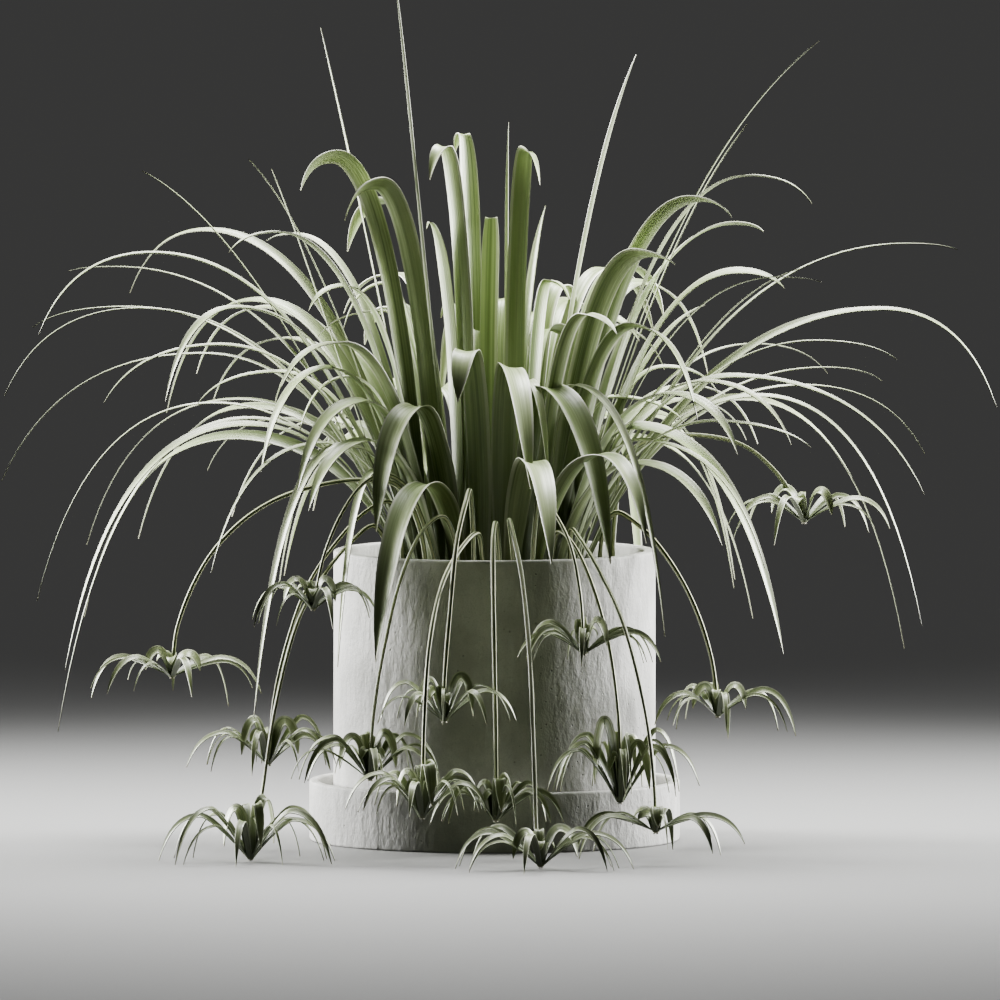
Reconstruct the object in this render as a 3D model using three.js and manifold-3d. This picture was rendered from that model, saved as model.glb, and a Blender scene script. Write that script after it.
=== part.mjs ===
// A potted spider plant: a plain round pot in a deep saucer, soil, one dense clump of arching
// leaves, and fourteen runners that hang over the rim, each with a young plant at its end.
//
// Millimetres, +Z up. The origin is the centre of the saucer's underside, and z = 0 is the
// surface it stands on. An azimuth is measured in degrees from +X towards +Y; the front of the
// plant faces -Y. A leaf's curve lies in an upright plane, so its points are [reach, height].

import * as THREE from 'three';
import { mergeVertices } from 'three/addons/utils/BufferGeometryUtils.js';
import Module from 'manifold-3d';

const wasm = await Module();
wasm.setup();

// Driving dimensions of the pot and the saucer
const POT_RADIUS = 120;
const POT_WALL = 9;
const POT_RIM_HEIGHT = 216;
const POT_FLOOR_THICKNESS = 14;
const DRAIN_HOLE_RADIUS = 10;
const SAUCER_RADIUS = 138;
const SAUCER_WALL = 7;
const SAUCER_HEIGHT = 44.5;
const SAUCER_FLOOR_THICKNESS = 8;
const EDGE_ROUNDING = 1.5;
const INSIDE_CORNER = 4;
const ROUND_SIDES = 40;

// Driving dimensions of the soil and of what stands in it
const FIT_GAP = 0.3;
const SOIL_TOP = 191;
const CROWN_RADIUS = 70;
const CROWN_BOTTOM = 172;
const CROWN_SHOULDER = 187;
const CROWN_TOP = 195;
const CROWN_FLAT_SHARE = 0.6;
const CROWN_SIDES = 24;
const STEM_BOTTOM = 174;
const STEM_RADIUS = 1.9;
const STEM_UPRIGHT_TO = 200;
const STEM_SIDES = 4;
const STEM_HOLE_RADIUS = 3;
const STEM_HOLE_SIDES = 6;
const STEM_STEP = 28;

// How a leaf is built
const LEAF_ROOT_HEIGHT = 183;
const LEAF_ROOT_START = 16;
const LEAF_ROOT_SHARE = 0.3;
const LEAF_ROOT_LIMIT = 60;
const ARCH_LEAN = 0.36;
const ARCH_SPREAD = 0.72;
const BLADE_THICKNESS = 1.2;
const CHANNEL_DEPTH = 0.11;
const WIDE_BLADE = 15;
const THREAD_BLADE = 6;
const ROOT_SHARE = 0.4;
const WIDEST_AT = 0.42;
const TAPER_BEFORE_TOP = 0.08;
const TAPER_LIMITS = [0.4, 0.8];
const TIP_FULLNESS = 0.8;
const SLENDER_BLADE = 8;
const BROAD_OVER = 8;
const SIDE_ROLL = 38;
const SIDE_ROLL_FROM = 60;
const SIDE_ROLL_OVER = 70;
const ROLLED_AT = 1 / 3;
const UNROLL_SHARE = 0.75;
const UNROLL_FROM = 0.45;
const UNROLL_OVER = 0.3;
const THREAD_STEPS = [3, 2];
const NARROW_STEPS = [3, 3];
const WIDE_STEPS = [4, 3];
const UPRIGHT_STEPS = 4;
const WIDE_UPRIGHT_STEPS = 6;
const LEAST_DETAIL = 0.05;
const YOUNG_LEAN = 0.72;
const YOUNG_SPREAD = 0.7;
const YOUNG_ROLL_SHARE = 1.15;
const YOUNG_ROOT_REACH = 2.6;
const YOUNG_ROOT_SHARE = 0.4;
const YOUNG_THICKNESS = 0.9;
const YOUNG_LEAF_STEPS = [2, 2];
const YOUNG_NECK = { top: 4.0, bottom: 2.6, height: 4.6, lift: 0.7, sides: 6 };
const YOUNG_REACHES = [0.75, 1];
const YOUNG_RISES = [0.8, 1.15];
const YOUNG_HANGS = [0.3, 1];
const YOUNG_TOPS = [0.5, 0.62];
const YOUNG_WIDTHS = [0.8, 1.1];
const RISE_WHERE_SHORT = 0.35;
const OUTER_SHARE = 0.65;
const OUTER_BREADTH = 0.4;
const INNER_LEAN = 0.3;
const INNER_REACH = 0.38;
const INNER_RISE = 1.05;
const INNER_LIFT = 4;
const INNER_WIDTH = 1.6;
const INNER_TIP = 0.2;
const SIDEWAYS_PULL = 20;
const FIRST_FAMILY_SEED = 101;
const FIRST_RUNNER_SEED = 211;
const SURFACE_CLEARANCE = 0.8;
const WALL_CLEARANCE = 5;
const GOLDEN_ANGLE = 137.508;

// The leaves that arch over: azimuth, [reach, height] of the top of the arch, [reach, height]
// of the tip, width, and where it isn't 0 the roll of the blade about its own length.
const ARCHING_LEAVES = [
  [152, [243, 448], [310, 399], 8],
  [192, [262, 441], [346, 381], 8],
  [159, [300, 421], [342, 417], 2.4],
  [215, [200, 460], [240, 446], 9],
  [205, [131, 512], [159, 488], 14, 52],
  [215, [106, 492], [136, 466], 16, 38],
  [150, [96, 473], [127, 435], 15, 30],
  [235, [67, 520], [84, 496], 15],
  [122, [44, 524], [56, 510], 16],
  [94, [26, 462], [44, 452], 13],
  [222, [65, 463], [68, 458], 13],
  [146, [180, 446], [206, 440], 6],
  [171, [276, 395], [349, 379], 2.4],
  [188, [268, 399], [368, 334], 2.4],
  [172, [218, 361], [372, 264], 2.4],
  [208, [218, 403], [276, 335], 11],
  [158, [190, 398], [265, 312], 11],
  [200, [221, 374], [308, 333], 8],
  [146, [204, 390], [270, 338], 10],
  [222, [159, 377], [212, 347], 14],
  [210, [142, 356], [200, 281], 14],
  [190, [165, 351], [224, 328], 7],
  [151, [204, 317], [306, 214], 8],
  [201, [199, 314], [341, 135], 10],
  [159, [200, 297], [330, 157], 10],
  [193, [188, 317], [333, 86], 5],
  [153, [208, 323], [344, 209], 2.4],
  [185, [210, 327], [342, 180], 2.4],
  [235, [98, 328], [153, 238], 20],
  [243, [117, 272], [194, 145], 20],
  [218, [126, 332], [185, 268], 15],
  [226, [136, 304], [198, 255], 15],
  [149, [118, 306], [189, 181], 7],
  [213, [134, 299], [213, 99], 9],
  [141, [158, 307], [254, 230], 5],
  [211, [152, 301], [245, 208], 6],
  [150, [180, 308], [249, 267], 5],
  [218, [113, 280], [148, 135], 8],
  [257, [94, 370], [121, 334], 18],
  [279, [92, 358], [172, 273], 18, -8],
  [290, [71, 347], [117, 272], 8],
  [280, [152, 292], [242, 222], 19],
  [303, [44, 516], [62, 491], 14, -22],
  [328, [48, 418], [66, 405], 14],
  [333, [215, 501], [264, 481], 8],
  [322, [191, 484], [223, 472], 14, -26],
  [31, [209, 453], [235, 447], 12, -25],
  [315, [156, 443], [189, 437], 18, -34],
  [344, [190, 427], [224, 415], 12, 20],
  [9, [310, 442], [350, 437], 2.4],
  [335, [235, 426], [267, 423], 2.4],
  [3, [288, 395], [375, 321], 8],
  [316, [144, 389], [209, 323], 13, -26],
  [300, [136, 399], [181, 387], 12],
  [26, [213, 364], [278, 340], 2.4],
  [343, [253, 377], [312, 364], 2.4],
  [19, [258, 347], [307, 336], 2.4],
  [341, [190, 350], [337, 265], 8],
  [16, [237, 335], [335, 282], 2.4],
  [327, [186, 348], [262, 304], 10],
  [318, [178, 340], [242, 298], 14],
  [38, [185, 331], [251, 285], 8],
  [30, [160, 323], [218, 291], 8],
  [324, [207, 320], [289, 304], 8],
  [24, [196, 325], [337, 132], 6],
  [344, [206, 335], [330, 166], 5],
  [300, [84, 342], [172, 216], 21],
  [308, [97, 344], [205, 163], 8],
  [331, [124, 312], [245, 147], 15],
  [296, [191, 298], [256, 237], 14],
  [315, [154, 288], [238, 231], 15],
  [324, [134, 303], [248, 212], 9],
  [35, [121, 296], [237, 155], 6],
];

// The leaves that still point up: azimuth, [reach, height] of the bend, [reach, height] of the
// tip, width.
const UPRIGHT_LEAVES = [
  [200, [97, 435], [137, 608], 3.4],
  [232, [84, 489], [120, 652], 2.4],
  [170, [122, 440], [186, 506], 2.4],
  [190, [142, 440], [168, 502], 2.4],
  [176, [168, 448], [263, 498], 2.4],
  [80, [18, 440], [60, 532], 2.4],
  [42, [26, 410], [51, 471], 8],
  [315, [74, 470], [148, 591], 4.4],
  [346, [120, 500], [248, 599], 3.6],
  [16, [120, 440], [196, 531], 3],
  [28, [113, 376], [178, 394], 9],
  [5, [140, 400], [228, 425], 2.4],
];

// The rest of the leaves follow a rule, one family at a time: a share of the circle that they
// stand in, from and to these azimuths, and the ranges that their sizes are drawn from.
const LEAF_FAMILIES = [
  {
    count: 7, from: 35, to: 145, apexReach: [60, 120], apexHeight: [360, 425],
    tipReach: [20, 60], tipDrop: [15, 45], width: [12, 18], roll: [-15, 15], turn: 0.1,
  },
  {
    count: 8, from: 22, to: 158, apexReach: [120, 180], apexHeight: [350, 430],
    tipReach: [50, 100], tipDrop: [30, 90], width: [8, 15], roll: [-15, 15], turn: 0.6,
  },
  {
    count: 8, from: 28, to: 152, apexReach: [110, 165], apexHeight: [285, 335],
    tipReach: [70, 130], tipDrop: [70, 190], width: [7, 15], roll: [-15, 15], turn: 0.35,
  },
  {
    count: 4, from: 60, to: 125, apexReach: [30, 60], apexHeight: [330, 400],
    tipReach: [14, 30], tipDrop: [6, 18], width: [10, 15], roll: [-10, 10],
    turn: 0.8,
  },
  {
    count: 4, from: -40, to: 28, apexReach: [80, 130], apexHeight: [330, 410],
    tipReach: [30, 60], tipDrop: [15, 45], width: [9, 14], roll: [-10, 10],
    turn: 0.2,
  },
  {
    count: 4, from: 152, to: 218, apexReach: [80, 130], apexHeight: [340, 420],
    tipReach: [30, 60], tipDrop: [15, 45], width: [9, 14], roll: [-10, 10],
    turn: 0.5,
  },
];

// The runners: the points that the stem passes, from its hole in the soil over the rim to the
// young plant, then how many leaves that plant has, how far they reach, how high they rise, how
// far below their roots their tips hang, their width, and the azimuth of the first one.
const RUNNERS = [
  {
    path: [
      [-50, -78, 174], [-57, -74, 242], [-72, -64, 268], [-100, -54, 272], [-136, -46, 266],
      [-167, -38, 254], [-193, -31, 235], [-216, -25, 207], [-236, -21, 160], [-240, -20, 124],
    ],
    leaves: 8, reach: 68, rise: 13, hang: 26, width: 5.5, turn: 90,
  },
  {
    path: [
      [-42, -82, 174], [-52, -86, 240], [-66, -92, 270], [-82, -100, 279], [-97, -112, 273],
      [-112, -128, 254], [-126, -142, 222], [-134, -149, 184],
    ],
    leaves: 8, reach: 58, rise: 16, hang: 14, width: 5, turn: 90,
  },
  {
    path: [
      [-68, -58, 174], [-70, -59, 235], [-77, -65, 256], [-92, -72, 252], [-115, -78, 230],
      [-140, -82, 192], [-162, -85, 120], [-168, -86, 64],
    ],
    leaves: 10, reach: 62, rise: 25, hang: 6, width: 5, turn: 348,
  },
  {
    path: [
      [-26, -88, 174], [-30, -94, 232], [-38, -103, 248], [-52, -117, 240], [-68, -131, 208],
      [-82, -144, 152], [-90, -150, 100], [-92, -150, 58],
    ],
    leaves: 11, reach: 62, rise: 28, hang: 4, width: 5, turn: 168,
  },
  {
    path: [
      [-78, -44, 174], [-80, -47, 222], [-90, -55, 238], [-107, -68, 226], [-126, -84, 204],
      [-145, -104, 172], [-162, -128, 110], [-172, -150, 46], [-178, -172, 8], [-180, -196, 3.5],
      [-180, -214, 4],
    ],
    leaves: 11, reach: 70, rise: 34, hang: 8, width: 5, turn: 126,
  },
  {
    path: [
      [-15, -91, 174], [-16, -100, 240], [-18, -113, 268], [-21, -135, 262], [-28, -160, 232],
      [-33, -178, 182], [-37, -188, 132], [-37, -190, 104],
    ],
    leaves: 8, reach: 56, rise: 24, hang: 3, width: 5, turn: 108,
  },
  {
    path: [
      [-7, -88, 174], [-9, -98, 218], [-12, -113, 236], [-22, -134, 230], [-38, -168, 204],
      [-48, -206, 160], [-52, -228, 100], [-53, -235, 36],
    ],
    leaves: 11, reach: 58, rise: 31, hang: -6, width: 5, turn: 126,
  },
  {
    path: [
      [4, -90, 174], [3, -98, 226], [1, -112, 244], [-1, -134, 236], [-1, -156, 202],
      [0, -174, 142], [1, -184, 80], [1, -186, 30],
    ],
    leaves: 9, reach: 52, rise: 25, hang: 4, width: 5, turn: 36,
  },
  {
    path: [
      [28, -84, 174], [30, -91, 240], [34, -102, 264], [43, -120, 254], [56, -142, 230],
      [64, -158, 190], [66, -165, 152],
    ],
    leaves: 8, reach: 58, rise: 17, hang: 10, width: 5, turn: 216,
  },
  {
    path: [
      [42, -79, 174], [43, -86, 220], [47, -97, 236], [57, -114, 230], [70, -134, 206],
      [84, -154, 160], [92, -164, 100], [93, -166, 42],
    ],
    leaves: 12, reach: 60, rise: 46, hang: -12, width: 5, turn: 30,
  },
  {
    path: [
      [78, -40, 174], [81, -42, 232], [90, -45, 247], [107, -49, 238], [124, -53, 220],
      [145, -57, 186], [161, -60, 140], [166, -61, 98],
    ],
    leaves: 9, reach: 62, rise: 17, hang: 22, width: 5, turn: 84,
  },
  {
    path: [
      [56, -71, 174], [56, -82, 222], [57, -97, 238], [64, -122, 232], [78, -152, 210],
      [96, -190, 172], [112, -222, 108], [118, -238, 56], [119, -242, 26],
    ],
    leaves: 8, reach: 66, rise: 12, hang: 24, width: 5, turn: 30,
  },
  {
    path: [
      [15, -89, 174], [13, -98, 228], [11, -110, 246], [14, -130, 236], [20, -156, 208],
      [26, -192, 150], [29, -220, 80], [31, -240, 22], [33, -258, 4], [34, -284, 4],
    ],
    leaves: 10, reach: 72, rise: 24, hang: 10, width: 5, turn: 210,
  },
  {
    path: [
      [88, 18, 174], [90, 22, 240], [97, 23, 282], [116, 24, 297], [150, 25, 300],
      [186, 25, 292], [210, 23, 272], [226, 21, 248], [231, 20, 237],
    ],
    leaves: 8, reach: 66, rise: 18, hang: 16, width: 5, turn: 66,
  },
];

const concrete = new THREE.MeshStandardMaterial({ color: 0xb9b8b3, roughness: 0.85 });
const pottingSoil = new THREE.MeshStandardMaterial({ color: 0x2b1f16, roughness: 1 });
const foliage = new THREE.MeshStandardMaterial({ color: 0x8f9f6b, roughness: 0.5 });
const runnerGreen = new THREE.MeshStandardMaterial({ color: 0xa9ab7c, roughness: 0.5 });

// A repeatable draw: the same seed always gives the same leaves.
function seededDraw(seed) {
  let state = seed;
  return (low, high) => {
    state = (state * 16807) % 2147483647;
    return low + (high - low) * (state / 2147483647);
  };
}

// A closed skin over rings of points that all have the same number of points, flat at the first
// ring and closed to one point at the last where a tip is given.
function loft(rings, tip) {
  const sides = rings[0].length;
  const points = rings.flat();
  const faces = [];
  for (let side = 1; side < sides - 1; side += 1) {
    faces.push(0, side + 1, side);
  }
  for (let ring = 0; ring < rings.length - 1; ring += 1) {
    for (let side = 0; side < sides; side += 1) {
      const next = (side + 1) % sides;
      const a = ring * sides + side;
      const b = ring * sides + next;
      faces.push(a, b, b + sides, a, b + sides, a + sides);
    }
  }
  const last = (rings.length - 1) * sides;
  if (tip) {
    points.push(tip);
    for (let side = 0; side < sides; side += 1) {
      faces.push(last + side, last + ((side + 1) % sides), points.length - 1);
    }
  } else {
    for (let side = 1; side < sides - 1; side += 1) {
      faces.push(last, last + side, last + side + 1);
    }
  }
  const geometry = new THREE.BufferGeometry().setFromPoints(points);
  geometry.setIndex(faces);
  return geometry;
}

function solidOf(geometry) {
  const bare = geometry.clone();
  bare.deleteAttribute('normal');
  bare.deleteAttribute('uv');
  const merged = mergeVertices(bare, 1e-4);
  return new wasm.Manifold(new wasm.Mesh({
    numProp: 3,
    vertProperties: new Float32Array(merged.attributes.position.array),
    triVerts: new Uint32Array(merged.index.array),
  }));
}

function meshOf(name, solid, material) {
  const { vertProperties, triVerts } = solid.getMesh();
  const geometry = new THREE.BufferGeometry();
  geometry.setAttribute('position', new THREE.BufferAttribute(vertProperties, 3));
  geometry.setIndex(new THREE.BufferAttribute(triVerts, 1));
  return named(name, geometry, material);
}

// The largest piece alone: a pocket closed in between blades is filled, and a scrap that
// touches nothing is dropped.
function largestPiece(solid) {
  return solid.decompose().reduce((best, one) => (one.volume() > best.volume() ? one : best));
}

// Everything that grew together as one body.
function fused(parts) {
  const body = largestPiece(wasm.Manifold.union(parts));
  return largestPiece(body.simplify(LEAST_DETAIL));
}

function named(name, geometry, material) {
  const mesh = new THREE.Mesh(geometry, material);
  mesh.name = name;
  return mesh;
}

// A turned shape from its [radius, height] outline, which runs anticlockwise.
function turned(outline, sides = ROUND_SIDES) {
  const geometry = new THREE.LatheGeometry(outline.map(([r, z]) => new THREE.Vector2(r, z)), sides);
  return geometry.rotateX(Math.PI / 2);
}

// The points of a leaf's curve in its upright plane: up to the top of the arch, then to the tip.
function archPoints({ root, apex, tip, lean, spread, steps }) {
  const rise = new THREE.QuadraticBezierCurve(
    new THREE.Vector2(...root),
    new THREE.Vector2(root[0] + lean * (apex[0] - root[0]), apex[1]),
    new THREE.Vector2(...apex),
  );
  const fall = new THREE.QuadraticBezierCurve(
    new THREE.Vector2(...apex),
    new THREE.Vector2(apex[0] + spread * (tip[0] - apex[0]), apex[1]),
    new THREE.Vector2(...tip),
  );
  return [...rise.getPoints(steps[0]), ...fall.getPoints(steps[1]).slice(1)];
}

function uprightPoints({ root, bend, tip, steps }) {
  return new THREE.QuadraticBezierCurve(
    new THREE.Vector2(...root),
    new THREE.Vector2(...bend),
    new THREE.Vector2(...tip),
  ).getPoints(steps);
}

// Where a blade starts to narrow to its tip: just before the top of its arch.
function taperStart(points, lengths) {
  const top = points.reduce((best, { y }, i) => (y > points[best].y ? i : best), 0);
  const share = lengths[top] / lengths[lengths.length - 1] - TAPER_BEFORE_TOP;
  return THREE.MathUtils.clamp(share, ...TAPER_LIMITS);
}

// 0 for a slender leaf, 1 for a broad one, which stays broad nearly to its tip.
function breadth(width) {
  return THREE.MathUtils.clamp((width - SLENDER_BLADE) / BROAD_OVER, 0, 1);
}

// How wide a blade is along its length, as a share of its full width.
function widthShare(along, taper, rootShare, broad) {
  const rising = Math.sin(Math.min(along / WIDEST_AT, 1) * (Math.PI / 2));
  const beyond = THREE.MathUtils.clamp((along - taper) / (1 - taper), 0, 1);
  const falling = Math.cos(beyond ** (1 + TIP_FULLNESS * broad) * (Math.PI / 2));
  return (rootShare + (1 - rootShare) * rising) * falling;
}

// Leaves that arch far to the left or the right turn their upper face to the front.
function sideRoll(azimuth, reach) {
  const share = THREE.MathUtils.clamp((reach - SIDE_ROLL_FROM) / SIDE_ROLL_OVER, 0, 1);
  const turn = THREE.MathUtils.degToRad(azimuth);
  return SIDE_ROLL * share * Math.cos(turn) * (1 + Math.sin(turn));
}

// One blade along a curve in the upright plane through centre at an azimuth: a shallow channel
// over a keel, with a third of the faces saved on the narrow ones, whose top is flat. The side
// roll is lost for the most part on the way to the tip.
function blade({
  centre, azimuth, points, width, roll = 0, turnedToFront = 0, broad = breadth(width),
  thickness = BLADE_THICKNESS, rootShare = ROOT_SHARE,
}) {
  const turn = THREE.MathUtils.degToRad(azimuth);
  const outward = new THREE.Vector3(Math.cos(turn), Math.sin(turn), 0);
  const sideways = new THREE.Vector3(-Math.sin(turn), Math.cos(turn), 0);
  const up = new THREE.Vector3(0, 0, 1);
  const place = ({ x, y }) => centre.clone().addScaledVector(outward, x).addScaledVector(up, y);
  const lengths = [0];
  for (let i = 1; i < points.length; i += 1) {
    lengths.push(lengths[i - 1] + points[i].distanceTo(points[i - 1]));
  }
  const taper = taperStart(points, lengths);
  const rings = [];
  for (let i = 0; i < points.length - 1; i += 1) {
    const along = lengths[i] / lengths[lengths.length - 1];
    const ahead = points[i + 1].clone().sub(points[Math.max(0, i - 1)]).normalize();
    const tangent = outward.clone().multiplyScalar(ahead.x).addScaledVector(up, ahead.y);
    const unrolled = THREE.MathUtils.clamp((along - UNROLL_FROM) / UNROLL_OVER, 0, 1);
    const kept = turnedToFront * (1 - UNROLL_SHARE * unrolled);
    const twist = THREE.MathUtils.degToRad(roll + kept) * Math.min(1, along / ROLLED_AT);
    const across = sideways.clone().applyAxisAngle(tangent, twist);
    const above = tangent.clone().cross(across);
    const half = (width * widthShare(along, taper, rootShare, broad)) / 2;
    const middle = place(points[i]);
    const edge = (side) => middle.clone()
      .addScaledVector(across, side * half)
      .addScaledVector(above, 2 * half * CHANNEL_DEPTH);
    const keel = middle.clone().addScaledVector(above, -thickness);
    rings.push(width < WIDE_BLADE ? [edge(-1), keel, edge(1)] : [edge(-1), keel, edge(1), middle]);
  }
  return solidOf(loft(rings, place(points[points.length - 1])));
}

function leafRoot(apexReach) {
  return [Math.min(LEAF_ROOT_LIMIT, LEAF_ROOT_START + LEAF_ROOT_SHARE * apexReach),
    LEAF_ROOT_HEIGHT];
}

function archingLeaf(azimuth, apex, tip, width, roll = 0) {
  const narrow = width < THREAD_BLADE ? THREAD_STEPS : NARROW_STEPS;
  const steps = width < WIDE_BLADE ? narrow : WIDE_STEPS;
  const shape = {
    root: leafRoot(apex[0]), apex, tip, lean: ARCH_LEAN, spread: ARCH_SPREAD, steps,
  };
  return blade({
    centre: new THREE.Vector3(),
    azimuth,
    points: archPoints(shape),
    width,
    roll,
    turnedToFront: sideRoll(azimuth, apex[0]),
  });
}

function uprightLeaf(azimuth, bend, tip, width) {
  const steps = width < WIDE_BLADE ? UPRIGHT_STEPS : WIDE_UPRIGHT_STEPS;
  const points = uprightPoints({ root: leafRoot(bend[0]), bend, tip, steps });
  return blade({ centre: new THREE.Vector3(), azimuth, points, width });
}

function familyLeaves(family, seed) {
  const draw = seededDraw(seed);
  const leaves = [];
  for (let i = 0; i < family.count; i += 1) {
    const share = (family.turn + i * (GOLDEN_ANGLE / 360)) % 1;
    const azimuth = family.from + share * (family.to - family.from);
    const apex = [draw(...family.apexReach), draw(...family.apexHeight)];
    const tip = [apex[0] + draw(...family.tipReach), apex[1] - draw(...family.tipDrop)];
    leaves.push(archingLeaf(azimuth, apex, tip, draw(...family.width), draw(...family.roll)));
  }
  return leaves;
}

function crown() {
  return solidOf(turned([
    [0, CROWN_BOTTOM], [CROWN_RADIUS, CROWN_BOTTOM], [CROWN_RADIUS, CROWN_SHOULDER],
    [CROWN_RADIUS * CROWN_FLAT_SHARE, CROWN_TOP], [0, CROWN_TOP],
  ], CROWN_SIDES));
}

function leafClump() {
  const leaves = [
    ...ARCHING_LEAVES.map((row) => archingLeaf(...row)),
    ...UPRIGHT_LEAVES.map((row) => uprightLeaf(...row)),
    ...LEAF_FAMILIES.flatMap((family, index) => familyLeaves(family, FIRST_FAMILY_SEED + index)),
  ];
  return meshOf('leaf_clump', fused([crown(), ...leaves]), foliage);
}

// How far a young leaf may reach from its plant at an azimuth before it meets the saucer.
function roomTowards(centre, azimuth) {
  const turn = THREE.MathUtils.degToRad(azimuth);
  const inward = -(centre.x * Math.cos(turn) + centre.y * Math.sin(turn));
  const beside = Math.hypot(centre.x, centre.y) ** 2 - inward ** 2;
  const wall = (SAUCER_RADIUS + WALL_CLEARANCE) ** 2;
  return inward > 0 && beside < wall ? inward - Math.sqrt(wall - beside) : Infinity;
}

// A young plant's leaves: the older ones spread and droop, more of them to the left and the
// right than to the front and the back, and the youngest stand up in the middle.
function youngLeaves(runner, centre, seed) {
  const draw = seededDraw(seed);
  const leaves = [];
  for (let i = 0; i < runner.leaves; i += 1) {
    const even = runner.turn + i * GOLDEN_ANGLE;
    const azimuth = even - SIDEWAYS_PULL * Math.sin(2 * THREE.MathUtils.degToRad(even));
    const inner = i >= OUTER_SHARE * runner.leaves;
    const full = runner.reach * draw(...YOUNG_REACHES) * (inner ? INNER_REACH : 1);
    const reach = Math.min(full, roomTowards(centre, azimuth));
    const rise = runner.rise * draw(...YOUNG_RISES) * (inner ? INNER_RISE : 1)
      + RISE_WHERE_SHORT * (full - reach) + (inner ? INNER_LIFT : 0);
    const hang = inner ? -rise * INNER_TIP : runner.hang * draw(...YOUNG_HANGS) * (reach / full);
    const shape = {
      root: [YOUNG_ROOT_REACH, 0],
      apex: [reach * draw(...YOUNG_TOPS), rise],
      tip: [reach, Math.max(-hang, SURFACE_CLEARANCE - centre.z)],
      lean: inner ? INNER_LEAN : YOUNG_LEAN,
      spread: YOUNG_SPREAD,
      steps: YOUNG_LEAF_STEPS,
    };
    leaves.push(blade({
      centre,
      azimuth,
      points: archPoints(shape),
      width: runner.width * draw(...YOUNG_WIDTHS) * (inner ? INNER_WIDTH : 1),
      roll: SIDE_ROLL * YOUNG_ROLL_SHARE * Math.cos(THREE.MathUtils.degToRad(azimuth)),
      broad: inner ? 1 : OUTER_BREADTH,
      thickness: YOUNG_THICKNESS,
      rootShare: YOUNG_ROOT_SHARE,
    }));
  }
  return leaves;
}

// A stem leaves its hole in the soil straight upwards.
function stemCurve([hole, ...rest]) {
  const mouth = [hole[0], hole[1], STEM_UPRIGHT_TO];
  const points = [hole, mouth, ...rest].map((point) => new THREE.Vector3(...point));
  return new THREE.CatmullRomCurve3(points, false, 'centripetal');
}

function stem(path) {
  const curve = stemCurve(path);
  const section = new THREE.Shape();
  for (let side = 0; side < STEM_SIDES; side += 1) {
    const turn = (side / STEM_SIDES) * 2 * Math.PI;
    const draw = side === 0 ? 'moveTo' : 'lineTo';
    section[draw](STEM_RADIUS * Math.cos(turn), STEM_RADIUS * Math.sin(turn));
  }
  return solidOf(new THREE.ExtrudeGeometry(section, {
    steps: Math.round(curve.getLength() / STEM_STEP), extrudePath: curve, bevelEnabled: false,
  }));
}

// The short neck that a young plant's leaves grow from.
function neck(centre) {
  const { top, bottom, height, lift, sides } = YOUNG_NECK;
  return solidOf(new THREE.CylinderGeometry(top, bottom, height, sides)
    .rotateX(Math.PI / 2).translate(centre.x, centre.y, centre.z + lift));
}

function runnerMesh(runner, index) {
  const centre = new THREE.Vector3(...runner.path[runner.path.length - 1]);
  const leaves = youngLeaves(runner, centre, FIRST_RUNNER_SEED + index);
  const parts = [stem(runner.path), neck(centre), ...leaves];
  const name = `runner_${String(index + 1).padStart(2, '0')}`;
  return meshOf(name, fused(parts), runnerGreen);
}

function saucer() {
  const inner = SAUCER_RADIUS - SAUCER_WALL;
  return named('saucer', turned([
    [0, 0],
    [SAUCER_RADIUS - EDGE_ROUNDING, 0],
    [SAUCER_RADIUS, EDGE_ROUNDING],
    [SAUCER_RADIUS, SAUCER_HEIGHT - EDGE_ROUNDING],
    [SAUCER_RADIUS - EDGE_ROUNDING, SAUCER_HEIGHT],
    [inner + EDGE_ROUNDING, SAUCER_HEIGHT],
    [inner, SAUCER_HEIGHT - EDGE_ROUNDING],
    [inner, SAUCER_FLOOR_THICKNESS + INSIDE_CORNER],
    [inner - INSIDE_CORNER, SAUCER_FLOOR_THICKNESS],
    [0, SAUCER_FLOOR_THICKNESS],
  ]), concrete);
}

function pot() {
  const inner = POT_RADIUS - POT_WALL;
  const bottom = SAUCER_FLOOR_THICKNESS;
  const floor = bottom + POT_FLOOR_THICKNESS;
  return named('pot', turned([
    [DRAIN_HOLE_RADIUS, bottom],
    [POT_RADIUS - EDGE_ROUNDING, bottom],
    [POT_RADIUS, bottom + EDGE_ROUNDING],
    [POT_RADIUS, POT_RIM_HEIGHT - EDGE_ROUNDING],
    [POT_RADIUS - EDGE_ROUNDING, POT_RIM_HEIGHT],
    [inner + EDGE_ROUNDING, POT_RIM_HEIGHT],
    [inner, POT_RIM_HEIGHT - EDGE_ROUNDING],
    [inner, floor],
    [DRAIN_HOLE_RADIUS, floor],
    [DRAIN_HOLE_RADIUS, bottom],
  ]), concrete);
}

// The soil fills the pot, with a plain round hole for the crown and one for each runner's stem.
function soil() {
  const radius = POT_RADIUS - POT_WALL - FIT_GAP;
  const floor = SAUCER_FLOOR_THICKNESS + POT_FLOOR_THICKNESS;
  const hole = (holeRadius, bottom, sides, x = 0, y = 0) => {
    const height = SOIL_TOP + 1 - bottom;
    const cylinder = new THREE.CylinderGeometry(holeRadius, holeRadius, height, sides);
    return solidOf(cylinder.rotateX(Math.PI / 2).translate(x, y, bottom + height / 2));
  };
  const body = solidOf(turned([[0, floor], [radius, floor], [radius, SOIL_TOP], [0, SOIL_TOP]]));
  const holes = RUNNERS.map(({ path }) => (
    hole(STEM_HOLE_RADIUS, STEM_BOTTOM - FIT_GAP, STEM_HOLE_SIDES, path[0][0], path[0][1])));
  holes.push(hole(CROWN_RADIUS + FIT_GAP, CROWN_BOTTOM, CROWN_SIDES));
  return meshOf('soil', body.subtract(wasm.Manifold.union(holes)), pottingSoil);
}

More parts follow.
